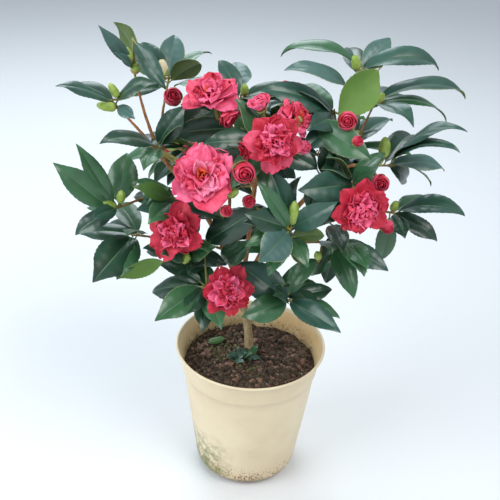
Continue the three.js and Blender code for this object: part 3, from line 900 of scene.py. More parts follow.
def thin_solid(grid, thickness, over, under, rim):
    """A closed blade about a grid of places, with each face's material."""
    rows, columns = grid.shape[:2]
    normal = np.cross(np.gradient(grid, axis=0), np.gradient(grid, axis=1))
    normal /= np.linalg.norm(normal, axis=2)[..., None] + 1e-12
    verts = np.concatenate([grid + normal * thickness / 2, grid - normal * thickness / 2]).reshape(-1, 3)
    top = np.arange(rows * columns).reshape(rows, columns)
    low = top + rows * columns
    quads, marks = [], []

    def add(a, b, c, d, mark):
        faces = np.stack([a, b, c, d], -1).reshape(-1, 4)
        quads.append(faces)
        marks.append(np.broadcast_to(mark, len(faces)) if np.ndim(mark) < 2 else np.asarray(mark).ravel())

    add(top[:-1, :-1], top[1:, :-1], top[1:, 1:], top[:-1, 1:], over)
    add(low[:-1, :-1], low[:-1, 1:], low[1:, 1:], low[1:, :-1], under)
    add(top[:-1, 0], low[:-1, 0], low[1:, 0], top[1:, 0], rim)
    add(top[:-1, -1], top[1:, -1], low[1:, -1], low[:-1, -1], rim)
    add(top[0, :-1], top[0, 1:], low[0, 1:], low[0, :-1], rim)
    add(top[-1, :-1], low[-1, :-1], low[-1, 1:], top[-1, 1:], rim)
    return verts, np.concatenate(quads), np.concatenate(marks)


def petal_places(centre, axes, turn, length, breadth, foot_angle, edge_angle, cup, ruffle, notch, chance):
    first, second, axis = axes
    radial = first * math.cos(turn) + second * math.sin(turn)
    across = second * math.cos(turn) - first * math.sin(turn)
    u = np.linspace(-1, 1, PETAL_COLUMNS)[None, :]
    v = np.linspace(0, 1, PETAL_ROWS)[:, None]
    reach = v * (1 - notch * np.exp(-(u / 0.3) ** 2) * v ** 3 - 0.10 * u ** 2 * v)
    fine = np.linspace(0, 1, 40)
    angle = np.radians(foot_angle + (edge_angle - foot_angle) * fine ** 1.2)
    out = np.concatenate([[0], np.cumsum((np.sin(angle[1:]) + np.sin(angle[:-1])) / 2)]) * length / 39
    along = np.concatenate([[0], np.cumsum((np.cos(angle[1:]) + np.cos(angle[:-1])) / 2)]) * length / 39
    r, h, slope = (np.interp(reach, fine, run) for run in (out, along, angle))
    half = breadth / 2 * (0.22 + 0.78 * np.sin(0.5 * math.pi * np.clip(v / 0.62, 0, 1)))
    half = half * np.sqrt(np.clip(1 - np.clip((v - 0.62) / 0.40, 0, 1) ** 2.4, 0.06, 1))
    side = half * np.sin(u * cup) / math.sin(cup)
    bowl = half * (1 - np.cos(u * cup)) * 0.9
    phase = chance.uniform(0, 6.3, 3)
    fray = np.sin(4.1 * u + phase[0]) + 0.7 * np.sin(7.3 * u + 2.5 * v + phase[1])
    fray = fray + 0.4 * np.sin(3 * v + phase[2])
    inward = bowl + ruffle * v ** 1.6 * fray * 0.55
    level = radial[None, None] * np.sin(slope)[..., None] + axis[None, None] * np.cos(slope)[..., None]
    inner = np.cross(level, across)
    start = centre + radial * length * 0.05
    spine = start + radial * r[..., None] + axis * h[..., None]
    return spine + across * side[..., None] + inner * inward[..., None]


def petal(centre, axes, turn, sizes, ruffle, notch, mark, chance):
    places = petal_places(centre, axes, turn, *sizes, ruffle, notch, chance)
    return thin_solid(places, PETAL_THICKNESS, mark, mark, mark)


def bloom(place, way, radius, form, outer, inner, chance):
    """The petals and sepals of one bloom whose face is centred on a place."""
    axes = own_frame(way)
    centre = place - axes[2] * radius * 0.30
    parts = []
    rings = RINGS[form]
    for level, (count, length, breadth, foot, edge, cup, ruffle) in enumerate(rings):
        start = chance.uniform(0, 6.3)
        tones = outer if level < 2 else inner
        for i in range(count):
            turn = start + 2 * math.pi * (i + chance.uniform(-0.22, 0.22)) / count
            size = radius * chance.uniform(0.84, 1.10)
            lean = chance.uniform(-13, 12)
            mark = BLOOM_TONES.index(chance.choice(tones))
            if level == len(rings) - 1 and form == "open" and i < 3:
                mark = BLOOM_TONES.index("throat")
            sizes = (length * size, breadth * size, foot + lean, edge + lean * 1.5, cup)
            raised = centre + axes[2] * radius * 0.045 * level
            notch = chance.uniform(0.0, 0.17)
            parts.append(petal(raised, axes, turn, sizes, ruffle * MM, notch, mark, chance))
    for i in range(BLOOM_SEPALS):
        turn = 2 * math.pi * i / BLOOM_SEPALS + 0.4
        sizes = (radius * 0.42, radius * 0.40, 72, 40, 1.1)
        green = BLOOM_TONES.index("sepal" if i % 3 else "sepal_dry")
        lowered = centre - axes[2] * radius * 0.10
        parts.append(petal(lowered, axes, turn, sizes, 0.1 * MM, 0, green, chance))
    return parts, centre - axes[2] * radius * 0.06


def petal_material(name, dark, light, roughness=0.55):
    material, tree, shader = start_material(name, dark, roughness)
    streaks = ramp(tree, noise(tree, 160, 4, 0.6), [(0.3, dark), (0.72, light)])
    tree.links.new(streaks, shader.inputs["Base Color"])
    shader.inputs["Sheen Weight"].default_value = 0.25
    shader.inputs["Sheen Tint"].default_value = (*light, 1)
    shader.inputs["Specular IOR Level"].default_value = 0.35
    bump(tree, shader, noise(tree, 620, 3, 0.6), 0.2, 0.0004)
    return material


def bloom_materials():
    return [
        petal_material("petal_crimson", paint(172, 24, 44), paint(216, 56, 82)),
        petal_material("petal_rose", paint(214, 56, 88), paint(238, 96, 126)),
        petal_material("petal_pink", paint(230, 80, 122), paint(248, 126, 162)),
        petal_material("petal_pale", paint(240, 120, 158), paint(252, 164, 190)),
        petal_material("petal_throat", paint(206, 48, 36), paint(240, 120, 62)),
        petal_material("sepal_green", paint(126, 156, 62), paint(178, 196, 104), 0.5),
        petal_material("sepal_dry", paint(140, 120, 62), paint(196, 176, 112), 0.6),
        petal_material("bloom_stalk", paint(118, 124, 56), paint(156, 128, 70), 0.6),
    ]


def flower_stalk(run, foot, way, tip_radius, mark):
    """A short stalk from the nearest place on a twig to the foot of a bloom or bud."""
    start = nearest_on(run[len(run) // 3:], foot)
    gap = np.linalg.norm(foot - start)
    bend = foot - unit(way) * gap * 0.35
    lifted = (start + bend) / 2 + np.array([0, 0, 0.04 * gap])
    places = smooth_run([start, lifted, bend, foot + unit(way) * 1.5 * MM], 2.5 * MM)
    return tube(places, np.linspace(tip_radius * 0.85, tip_radius, len(places)), 8, mark)


def make_blooms(runs):
    kinds = bloom_materials()
    groups = {"front": [], "behind": []}
    stalks = []
    for number, (shoot, offset, way, radius, form, outer, inner) in enumerate(BLOOMS):
        chance = np.random.default_rng(BLOOM_SEED + number)
        place = whorl_of(shoot) + np.array(offset) * MM
        parts, foot = bloom(place, way, radius * MM, form, outer, inner, chance)
        groups["behind" if shoot.startswith("back") else "front"] += parts
        stalks.append(flower_stalk(runs[shoot], foot, way, 1.7 * MM, BLOOM_TONES.index("stalk")))
    for side, parts in groups.items():
        piece = mesh_piece(f"blooms_{side}", *join_parts(parts), kinds)
        piece.data.set_sharp_from_angle(angle=SHARP_ANGLE)
        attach(piece, "root")
    stems = mesh_piece("bloom_stalks", *join_parts(stalks), kinds)
    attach(stems, "root")


make_blooms(limb_runs)


# ---- Buds ----
# Round red buds of wrapped petals that are about to open, and green buds of overlapping
# scales, some with a pale tip. They sit among the leaves at the ends of the twigs.
BUD_COLUMNS = 9
BUD_TONES = BLOOM_TONES + ("pale_tip",)
BUD_SEPALS = 5
BUD_SEED = 500
# Shoot, middle from the whorl in mm, the way it points, length and radius in mm, kind. Many
# of the places in front are numbers that a separate script worked out, some moved since.
BUDS = (
    ("top_left_inner", (8, -25, -4), (0.1, -0.8, 0.45), 17, 8.8, "red"),
    ("centre_mid", (-16, -40, -13), (0.15, -0.9, 0.2), 20, 10.2, "red"),
    ("centre_high", (7, -40, 12), (-0.1, -0.85, 0.3), 17, 8.8, "red"),
    ("right_mid", (-11, -45, 0), (0.0, -0.9, 0.25), 17, 8.8, "red"),
    ("left_centre", (51, -45, 13), (0.2, -0.8, 0.4), 12, 5.5, "red"),
    ("centre_front", (-39, -10, 33), (0.0, -0.8, 0.5), 12, 6, "red"),
    ("centre_high", (18, -50, -3), (0.3, -0.7, 0.5), 10, 5, "red"),
    ("right_low", (-9, -45, 5), (0.3, -0.8, -0.2), 15, 7, "red"),
    ("centre_mid", (38, -14, 4), (0.7, -0.5, 0.4), 15, 6.5, "rose"),
    ("top_left_inner", (-4, -5, 17), (-0.15, -0.1, 1), 17, 5.2, "white"),
    ("top_left", (-5, -5, 18), (-0.35, -0.2, 1), 16, 5, "green"),
    ("top_left", (3, -6, 6), (0.4, -0.5, 0.6), 14, 4.6, "green"),
    ("left_upper", (-2, -5, 18), (-0.5, -0.2, 1), 15, 4, "lime"),
    ("left_upper", (-9, -8, 3), (-1, -0.3, 0.2), 18, 4.6, "lime"),
    ("left_mid", (-8, -5, 6), (-0.6, -0.4, 0.7), 16, 4.6, "lime"),
    ("left_mid", (4, -3, 14), (0.2, -0.3, 1), 14, 4.6, "lime"),
    ("centre_front", (3, -5, 21), (0.05, -0.15, 1), 26, 5.2, "lime"),
    ("right_mid", (-5, -5, 22), (-0.05, -0.2, 1), 22, 6, "lime"),
    ("right_mid", (-12, -8, 9), (-0.5, -0.4, 0.7), 16, 5, "green"),
    ("top_right", (-4, 0, 9), (-0.3, -0.2, 1), 15, 4.6, "lime"),
    ("left_inner", (74, -55, -15), (0.4, -0.6, 0.6), 15, 4.4, "green"),
    ("right_bottom", (-23, -15, -8), (-0.2, -0.5, 0.9), 12, 4.2, "green"),
    ("left_bottom", (2, -25, 7), (0.2, -0.5, 0.8), 14, 4.6, "lime"),
    ("centre_mid", (30, -5, 25), (0.2, -0.6, 0.8), 13, 4.6, "lime"),
    ("right_upper", (6, -6, 12), (0.3, -0.2, 1), 13, 4, "green"),
    ("centre_top", (4, -8, 12), (0, -0.3, 1), 13, 4.2, "green"),
    ("right_low", (2, -8, 12), (0.2, -0.3, 1), 13, 4.2, "green"),
    ("back_top", (-6, 14, 16), (-0.2, 0.3, 1), 15, 4.6, "green"),
    ("back_left", (20, 32, 12), (0.2, 0.8, 0.5), 20, 10, "red"),
    ("back_left", (-6, 6, 16), (-0.3, 0.2, 1), 14, 4.4, "lime"),
    ("back_right", (-16, 30, 14), (-0.2, 0.85, 0.5), 19, 9.5, "red"),
    ("back_right", (8, 6, 14), (0.3, 0.2, 1), 15, 4.6, "green"),
    ("back_centre", (-26, 34, 16), (-0.3, 0.85, 0.4), 14, 6.5, "rose"),
    ("back_low", (6, 20, 10), (0.1, 0.4, 0.9), 13, 4.2, "green"),
)
# For each kind: how many wrappings, how far each covers round, their tones from the inside
# out, and whether it is a red bud, rolled open in the middle and held by green sepals.
BUD_KINDS = {
    "red": (12, 1.35, ("crimson", "crimson", "crimson", "rose", "crimson", "rose"), True),
    "rose": (10, 1.35, ("rose", "pink", "rose", "pink"), True),
    "green": (8, 1.1, ("sepal", "sepal", "sepal_dry"), False),
    "lime": (8, 1.1, ("sepal", "sepal"), False),
    "white": (7, 1.2, ("pale_tip", "pale_tip", "sepal"), False),
}


def wrap_places(foot, axes, turn, length, radius, half_turn, start, end, lift, narrowing=0.55):
    """A petal or scale that lies round an egg shape, open at its edges by a lift."""
    first, second, axis = axes
    u = np.linspace(-1, 1, BUD_COLUMNS)[None, :]
    v = np.linspace(start, end, PETAL_ROWS)[:, None]
    share = (v - start) / (end - start)
    around = turn - u * half_turn * (1 - narrowing * share ** 4)
    swell = np.sin(math.pi * np.clip(v, 0.015, 0.99) ** 0.86) ** 0.72
    r = radius * swell * (1 + lift * (0.35 + 0.65 * share) * (0.55 + 0.45 * u))
    h = length * (1 - np.cos(math.pi * v)) / 2 * (1 - 0.06 * u ** 2 * share)
    level = first[None, None] * np.cos(around)[..., None] + second[None, None] * np.sin(around)[..., None]
    return foot + level * r[..., None] + axis * h[..., None]


def bud(middle, way, length, radius, kind, chance):
    count, half_turn, tones, held = BUD_KINDS[kind]
    axes = own_frame(way)
    foot = middle - axes[2] * length / 2
    core_size = (length * 0.90, radius * 0.30) if held else (length * 0.985, radius * 0.88)
    core = wrap_places(foot, axes, 0, *core_size, math.pi, 0.0, 1.0, 0, 0)
    core_mark = BUD_TONES.index(tones[0])
    parts = [thin_solid(core, PETAL_THICKNESS, core_mark, core_mark, core_mark)]
    turn = chance.uniform(0, 6.3)
    for layer in range(count):
        turn += GOLDEN_TURN
        share = layer / (count - 1)
        mark = BUD_TONES.index(tones[min(int(share * len(tones)), len(tones) - 1)])
        if held:
            size = (length * (1.02 - 0.14 * share), radius * (0.34 + 0.64 * share))
            places = wrap_places(foot, axes, turn, *size, half_turn, 0.03, 0.80 - 0.10 * share, 0.10)
        else:
            size = (length, radius * (0.86 + 0.10 * share))
            places = wrap_places(foot, axes, turn, *size, half_turn, 0.03, 0.985 - 0.62 * share, 0.05)
        parts.append(thin_solid(places, PETAL_THICKNESS * 0.8, mark, mark, mark))
    for i in range(BUD_SEPALS if held else 0):
        green = BUD_TONES.index("sepal" if i % 2 else "sepal_dry")
        lowered = foot - axes[2] * 0.5 * MM
        places = wrap_places(lowered, axes, 1.257 * i, length, radius * 1.03, 0.75, 0.0, 0.36, 0.05)
        parts.append(thin_solid(places, PETAL_THICKNESS * 1.2, green, green, green))
    return parts, foot


def make_buds(runs):
    kinds = bloom_materials()
    kinds.append(petal_material("bud_tip", paint(216, 204, 150), paint(240, 226, 200), 0.5))
    groups = {"red_buds": [], "green_buds": []}
    stalks = []
    for number, (shoot, offset, way, length, radius, kind) in enumerate(BUDS):
        chance = np.random.default_rng(BUD_SEED + number)
        middle = whorl_of(shoot) + np.array(offset) * MM
        parts, foot = bud(middle, way, length * MM, radius * MM, kind, chance)
        groups["red_buds" if kind in ("red", "rose") else "green_buds"] += parts
        stalks.append(flower_stalk(runs[shoot], foot, way, 1.3 * MM, BLOOM_TONES.index("stalk")))
    for name, parts in groups.items():
        piece = mesh_piece(name, *join_parts(parts), kinds)
        piece.data.set_sharp_from_angle(angle=SHARP_ANGLE)
        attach(piece, "root")
    stems = mesh_piece("bud_stalks", *join_parts(stalks), kinds)
    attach(stems, "root")


make_buds(limb_runs)


# ---- Leaves ----
# Leathery leaves, folded along a pale midrib, arched and finely toothed, glossy blue-green
# above and matt olive beneath. The blue-green of the teal and sheen tones is partly painted
# reflection of the sky, and some margins carry a painted highlight. A shoot's leading leaves
# are listed one by one, and the rest follow the golden turn. A small seedling and a fallen
# leaf sit on the soil.
LEADING_ROWS = 25
FOLLOWING_ROWS = 19
SEEDLING_ROWS = 9
SEEDLING_SEED = 77
SHOOT_SEED = 100
TWIG_LEAF_SEED = 200
TWIG_LEAVES = 5
# Places on the soil in mm: the tufts from the stem, the fallen leaf's ends from the middle.
SEEDLING_TUFTS = ((-3, -14), (5, -15), (-12, -17))
FALLEN_LEAF = ((-50, 22), (-30, 36))
LEAF_HALF = (0.035, 0.15, 0.33, 0.55, 0.78, 0.95, 1)
LEAF_COLUMNS = (*(-u for u in reversed(LEAF_HALF)), *LEAF_HALF)
LEAF_THICKNESS = 0.45 * MM
LEAF_ROOM = 7 * MM
BLOOM_OUTLOOK = 80 * MM
STALK_RADIUS = 0.85 * MM
STALK_LENGTH = 5 * MM
LEAF_SPACING = 4.5 * MM
VIEW_SIDE = np.array([0.05, -0.92, 0.40])
# The teal and sheen tones carry painted reflection of the sky; the pale edge tone is a painted highlight.
TONES = ("deep", "green", "teal", "painted_sheen", "bright", "olive_under", "lime_under", "pale_rib",
         "painted_edge_highlight", "stalk")
UPPER_TONES = {"deep": 0, "green": 1, "teal": 2, "painted_sheen": 3, "bright": 4, "olive": 1, "lime": 4}

# Leading leaves: heading and rise in degrees from the whorl, reach in mm to the tip, tone,
# breadth as a share of length, arch in degrees, and how far the upper face turns to the front
# (1 fully, 0 level, below 0 it shows its underside). A leaf on a spur of its own also has
# the spur's end from the whorl in mm. In half of the rows the heading and rise are numbers
# that a separate script worked out.
LEADING = {
    "top_left": [(225, 53, 62, "painted_sheen", 0.25, 25, 0.95), (125, 42, 56, "olive", 0.46, 60, -0.7),
                 (250, 38, 45, "painted_sheen", 0.22, 20, 0.8), (60, 5, 34, "deep", 0.4, 25, 0.4),
                 (326, -12, 40, "teal", 0.33, 26, 0.95, (-1, 3, 31))],
    "top_left_inner": [(130, 30, 56, "teal", 0.42, 30, 0.6), (87, 38, 58, "painted_sheen", 0.50, 20, 1.0),
                       (47, 18, 62, "olive", 0.30, 45, -0.2), (325, 34, 50, "olive", 0.50, 40, -0.8),
                       (180, -20, 45, "deep", 0.42, 30, 0.4)],
    "left_upper": [(223, 27, 70, "teal", 0.32, 28, 0.45), (338, 35, 52, "deep", 0.42, 62, 0.45),
                   (309, -3, 32, "painted_sheen", 0.45, 25, 0.8), (150, 5, 62, "deep", 0.42, 40, 0.3)],
    "left_inner": [(224, 19, 70, "deep", 0.40, 50, 0.35), (337, 60, 58, "deep", 0.48, 35, 0.75),
                   (261, 1, 52, "green", 0.45, 40, 0.5), (110, -5, 50, "deep", 0.42, 40, 0.2)],
    "left_mid": [(201, 43, 80, "green", 0.36, 24, 0.85), (188, 62, 77, "green", 0.26, 30, 0.6),
                 (84, 46, 58, "green", 0.56, 24, 1.0), (242, 7, 40, "teal", 0.46, 25, 0.8),
                 (200, -30, 50, "deep", 0.44, 35, 0.5)],
    "left_centre": [(223, 29, 58, "bright", 0.36, 30, 0.7), (148, -14, 56, "deep", 0.44, 35, 0.5),
                    (248, -1, 56, "green", 0.46, 30, 0.8), (330, -5, 56, "deep", 0.44, 35, 0.6),
                    (338, -23, 73, "deep", 0.42, 35, 0.7, (34, 15, -12))],
    "left_bottom": [(212, -9, 77, "lime", 0.46, 35, -0.85, (-16, -27, 4)),
                    (250, 25, 62, "teal", 0.44, 35, 0.8), (310, 30, 58, "green", 0.44, 35, 0.9),
                    (195, 10, 45, "deep", 0.44, 30, 0.5), (345, -10, 44, "deep", 0.46, 30, 0.7)],
    "left_low": [(242, -12, 78, "deep", 0.54, 25, 0.95), (256, -17, 62, "green", 0.44, 25, 0.8),
                 (175, -5, 62, "deep", 0.44, 35, 0.3), (120, 5, 62, "green", 0.44, 35, 0.2)],
    "front_left": [(234, -3, 75, "green", 0.44, 35, 0.75), (160, -22, 66, "deep", 0.44, 35, 0.5),
                   (251, -5, 52, "deep", 0.46, 30, 0.8), (290, -14, 60, "green", 0.40, 30, 0.7),
                   (348, 61, 114, "deep", 0.40, 35, 0.9, (-3, 5, 47)),
                   (0, 51, 72, "green", 0.45, 35, 0.8, (15, 25, 14))],
    "front_right": [(169, 32, 68, "teal", 0.54, 28, 0.85), (219, 2, 60, "green", 0.50, 30, 0.8),
                    (316, -2, 72, "teal", 0.36, 35, 0.7), (20, 5, 50, "deep", 0.44, 30, 0.5),
                    (60, 45, 48, "green", 0.44, 30, 0.9)],
    "centre_front": [(240, -9, 56, "painted_sheen", 0.66, 20, 1.0), (198, 57, 64, "green", 0.26, 55, 0.7),
                     (215, 30, 60, "deep", 0.44, 35, 0.8), (338, 42, 60, "teal", 0.40, 30, 0.9),
                     (324, 11, 40, "olive", 0.60, 25, -0.9, (0, 0, -9)),
                     (311, -45, 38, "olive", 0.54, 25, -0.9, (-2, 0, -12))],
    "centre_mid": [(200, 5, 58, "deep", 0.46, 30, 0.7), (240, -25, 60, "green", 0.44, 30, 0.8),
                   (350, -20, 56, "deep", 0.46, 30, 0.8),
                   (167, -2, 89, "deep", 0.42, 30, 0.85, (-23, 25, 5))],
    "centre_top": [(98, 26, 52, "painted_sheen", 0.60, 25, 1.0), (155, -2, 78, "olive", 0.36, 35, 0.2),
                   (30, -3, 68, "teal", 0.40, 35, 0.6), (220, -15, 82, "deep", 0.44, 35, 0.7)],
    "centre_high": [(198, 22, 84, "teal", 0.38, 45, 0.55), (125, 13, 60, "green", 0.42, 35, 0.4),
                    (300, -17, 66, "green", 0.42, 30, 0.9, (-28, -20, 4)),
                    (240, 5, 60, "teal", 0.44, 35, 0.8)],
    "top_right": [(162, 3, 78, "olive", 0.34, 65, 0.1), (199, 4, 76, "painted_sheen", 0.32, 62, 0.4, (-8, -4, -17)),
                  (48, 28, 52, "painted_sheen", 0.48, 15, 0.95), (15, -1, 82, "teal", 0.36, 68, 0.30),
                  (244, -38, 54, "lime", 0.58, 8, -1.0, (20, -5, 8)), (95, 5, 60, "deep", 0.42, 35, 0.2)],
    "right_upper": [(14, 3, 100, "teal", 0.28, 70, 0.15), (39, -6, 62, "green", 0.34, 50, 0.1),
                    (6, -12, 80, "green", 0.28, 78, 0.10), (296, 4, 70, "teal", 0.34, 60, 0.25),
                    (75, 0, 66, "deep", 0.42, 40, 0.2)],
    "right_mid": [(329, 36, 92, "teal", 0.28, 72, 0.20), (326, 25, 80, "teal", 0.30, 76, 0.25),
                  (11, -8, 64, "painted_sheen", 0.38, 60, 0.35), (15, -27, 60, "olive", 0.34, 55, -0.2),
                  (60, 10, 66, "deep", 0.42, 40, 0.2)],
    "centre_right": [(216, 8, 66, "teal", 0.52, 30, 0.95), (293, 40, 56, "green", 0.40, 40, 0.8),
                     (232, -24, 62, "deep", 0.44, 35, 0.8)],
    "right_low": [(330, 14, 80, "teal", 0.40, 58, 0.30), (38, -2, 60, "green", 0.42, 50, 0.2),
                  (284, -10, 44, "deep", 0.5, 30, 0.8), (345, -25, 58, "deep", 0.42, 40, 0.5)],
    "right_bottom": [(294, 1, 58, "green", 0.46, 30, 0.7), (38, -48, 68, "deep", 0.44, 30, 0.5),
                     (170, -60, 52, "green", 0.44, 30, 0.4), (330, -15, 58, "teal", 0.44, 35, 0.7)],
    "back_top": [(95, 8, 66, "green", 0.42, 40, 0), (150, 5, 66, "teal", 0.42, 40, 0),
                 (35, 10, 68, "green", 0.42, 40, 0), (250, 10, 56, "deep", 0.44, 35, 0.4)],
    "back_left": [(100, 5, 70, "teal", 0.42, 40, 0), (124, 8, 78, "green", 0.40, 45, 0),
                  (185, -20, 74, "green", 0.42, 40, 0), (60, 10, 62, "deep", 0.44, 40, 0),
                  (240, -25, 56, "deep", 0.44, 35, 0.2)],
    "back_right": [(85, 5, 70, "green", 0.42, 40, 0), (45, 12, 78, "teal", 0.40, 45, 0),
                   (5, -8, 76, "green", 0.42, 40, 0), (125, 10, 62, "teal", 0.44, 40, 0),
                   (300, -20, 56, "deep", 0.44, 35, 0.2)],
    "back_centre": [(90, 5, 72, "green", 0.42, 40, 0), (130, -5, 68, "teal", 0.44, 40, 0),
                    (45, -5, 68, "deep", 0.44, 40, 0), (180, 10, 62, "green", 0.42, 40, 0),
                    (0, 5, 60, "green", 0.42, 40, 0)],
    "back_low": [(80, 5, 68, "green", 0.44, 40, 0), (20, 0, 62, "teal", 0.44, 40, 0),
                 (140, 0, 66, "deep", 0.44, 40, 0), (190, -10, 58, "deep", 0.44, 35, 0.2)],
}
# How many more leaves follow down the bough, fewer where the sky shows through.
FOLLOWING = {
    "top_left": 0, "top_left_inner": 1, "left_upper": 0, "left_inner": 1, "left_mid": 2,
    "left_centre": 8, "left_bottom": 6, "left_low": 2, "front_left": 6, "front_right": 6,
    "centre_front": 7, "centre_mid": 8, "centre_top": 7, "centre_high": 3, "top_right": 0,
    "right_upper": 1, "right_mid": 1, "centre_right": 8, "right_low": 1, "right_bottom": 4,
}
FOLLOWING_BEHIND = 8


def heading_way(heading, rise):
    heading, rise = math.radians(heading), math.radians(rise)
    level = math.cos(rise)
    return np.array([math.cos(heading) * level, math.sin(heading) * level, math.sin(rise)])


def blade_outline(s):
    """Half breadth of a blade along its length, 0 to 1, drawn out to a point."""
    oval = np.sin(math.pi * np.clip(s, 0, 1) ** 0.92) ** 0.82
    point = 1 - 0.42 * np.clip((s - 0.72) / 0.28, 0, 1) ** 1.2
    return oval * point + 0.012


def leaf_places(base, tip, face_way, breadth, arch, fold, twist, wave, phase, count):
    chord = tip - base
    length = np.linalg.norm(chord)
    forward = chord / length
    side = unit(np.cross(face_way, forward))
    up = np.cross(forward, side)
    columns = np.array(LEAF_COLUMNS)[None, :]
    rows = np.linspace(0, 1, count)[:, None]
    s = np.clip(rows + 0.10 * np.abs(columns) * np.sin(math.pi * rows) * (1 - rows), 0, 1)
    fine = np.linspace(0, 1, 80)
    slope = math.radians(arch) * (0.62 - fine ** 1.25) - 0.35 * np.clip((fine - 0.85) / 0.15, 0, 1)
    run = np.concatenate([[0], np.cumsum((np.cos(slope[1:]) + np.cos(slope[:-1])) / 2)])
    lift = np.concatenate([[0], np.cumsum((np.sin(slope[1:]) + np.sin(slope[:-1])) / 2)])
    span = math.hypot(run[-1], lift[-1])
    lean = math.atan2(lift[-1], run[-1])
    run, lift = run / span, lift / span
    flat, steep = math.cos(lean), math.sin(lean)
    run, lift = run * flat + lift * steep, lift * flat - run * steep
    slope = slope - lean
    x, z = np.interp(s, fine, run) * length, np.interp(s, fine, lift) * length
    angle = np.interp(s, fine, slope)
    teeth = 1 + 0.018 * (np.abs(columns) == 1) * np.where(np.arange(count)[:, None] % 2, 1, -1)
    half = blade_outline(s) * breadth * length / 2
    y = columns * half * teeth
    off_rib = np.abs(columns) * (1 - np.abs(columns)) * 4
    veins = 0.15 * MM * np.sin(np.arange(count)[:, None] * math.pi / 2) * off_rib
    sag = np.abs(y) * math.tan(math.radians(fold)) - 0.42 * y ** 2 / (breadth * length / 2)
    waviness = wave * length * np.sin(3.2 * math.pi * s + phase + (columns > 0) * 1.9) * columns ** 2
    rise = sag + (veins + waviness) * np.clip(half / (breadth * length / 4), 0, 1)
    roll = twist * (s - 0.3)
    y, rise = y * np.cos(roll) - rise * np.sin(roll), y * np.sin(roll) + rise * np.cos(roll)
    x = x - rise * np.sin(angle)
    z = z + rise * np.cos(angle)
    return base + x[..., None] * forward + z[..., None] * up + y[..., None] * side


def leaf(base, tip, face_way, breadth, arch, fold, tone, chance, count):
    """One blade with its stalk's end at base and its point at tip."""
    twist = chance.uniform(-0.35, 0.35)
    wave = chance.uniform(0.008, 0.022)
    phase = chance.uniform(0, 6.3)
    places = leaf_places(base, tip, face_way, breadth, arch, fold, twist, wave, phase, count)
    over = np.full((count - 1, len(LEAF_COLUMNS) - 1), UPPER_TONES[tone])
    over[:, len(LEAF_COLUMNS) // 2 - 1] = TONES.index("pale_rib")
    rim = UPPER_TONES[tone]
    # On about a third of the leaves the rim and outer strips of the upper face get a painted highlight,
    # where light catches the margin.
    if chance.uniform() < 0.35:
        rim = TONES.index("painted_edge_highlight")
        over[:, 0] = rim
        over[:, -1] = rim
    below = "lime_under" if tone in ("lime", "bright") else "olive_under"
    under = np.full_like(over, TONES.index(below))
    if tone != "lime":
        under[:, len(LEAF_COLUMNS) // 2 - 1] = TONES.index("pale_rib")
    return thin_solid(places, LEAF_THICKNESS, over, under, rim)


def facing(way, face):
    """Where the upper side looks: level leaves up, others part turned to the front or away."""
    want = np.array([0, 0, 1.0]) * (1 - abs(face)) + VIEW_SIDE * face
    if face < 0:
        want[2] += 0.35
    across = want - way * np.dot(want, way)
    return unit(across)


def stalk_and_leaf(joint, tip, face, breadth, arch, tone, chance, parts, stalks, count):
    way = unit(tip - joint)
    face_way = facing(way, face)
    rise_way = unit(way + face_way * math.tan(math.radians(arch * 0.5)))
    base = joint + rise_way * STALK_LENGTH
    fold = chance.uniform(14, 30) + 22 * max(0, 0.45 - abs(face))
    if tone == "lime":
        fold = 4
    parts.append(leaf(base, tip, face_way, breadth, arch, fold, tone, chance, count))
    root = joint - way * 0.5 * MM
    half_way = joint + rise_way * STALK_LENGTH * 0.5
    run = smooth_run([root, half_way, base + rise_way * 3 * MM], 1.6 * MM)
    taper = np.linspace(STALK_RADIUS, STALK_RADIUS * 0.75, len(run))
    stalks.append(tube(run, taper, 6, TONES.index("stalk")))


def following_leaf(joint, tip, tone, behind, chance, parts, stalks):
    """A leaf whose turn to the front, breadth and arch are left to chance."""
    face = chance.uniform(-0.15, 0.3) if behind else chance.uniform(0.1, 0.75)
    breadth = chance.uniform(0.38, 0.48)
    arch = chance.uniform(20, 50)
    stalk_and_leaf(joint, tip, face, breadth, arch, tone, chance, parts, stalks, FOLLOWING_ROWS)


def bloom_faces():
    """Each bloom, red bud and light leaf: its middle, the way it looks, and its radius."""
    faces = [(shoot, offset, way, radius) for shoot, offset, way, radius, *_ in BLOOMS]
    faces += [(shoot, offset, way, radius)
              for shoot, offset, way, _, radius, kind in BUDS if kind in ("red", "rose")]
    for shoot, leaves in LEADING.items():
        for heading, rise, reach, tone, *_, spur in leaves:
            if tone == "lime":
                faces.append((shoot, (heading_way(heading, rise) * reach + spur) / 2, VIEW_SIDE, 12))
    return [(whorl_of(shoot) + np.array(offset) * MM, unit(way), radius * MM)
            for shoot, offset, way, radius in faces]


def clear_of_blooms(joint, tip):
    """Whether a leaf between two places leaves every bloom room to look out."""
    places = joint + (tip - joint) * np.linspace(0, 1, 6)[:, None]
    for middle, way, radius in open_faces:
        from_middle = places - middle
        ahead = from_middle @ way
        aside = np.linalg.norm(from_middle - ahead[:, None] * way, axis=1)
        if np.any((aside < radius + LEAF_ROOM) & (ahead > -0.6 * radius) & (ahead < BLOOM_OUTLOOK)):
            return False
    return True


def within(place, low, high, room):
    return bool(np.all(place > low - room) and np.all(place < high + room))


def spread_way(along, turn, spread):
    """The way that leaves a twig at an angle, at some turn about it."""
    aside = unit(np.cross(along, (0.3, 0.2, 1.0)))
    around = aside * math.cos(turn) + np.cross(along, aside) * math.sin(turn)
    return along * math.cos(spread) + around * math.sin(spread)


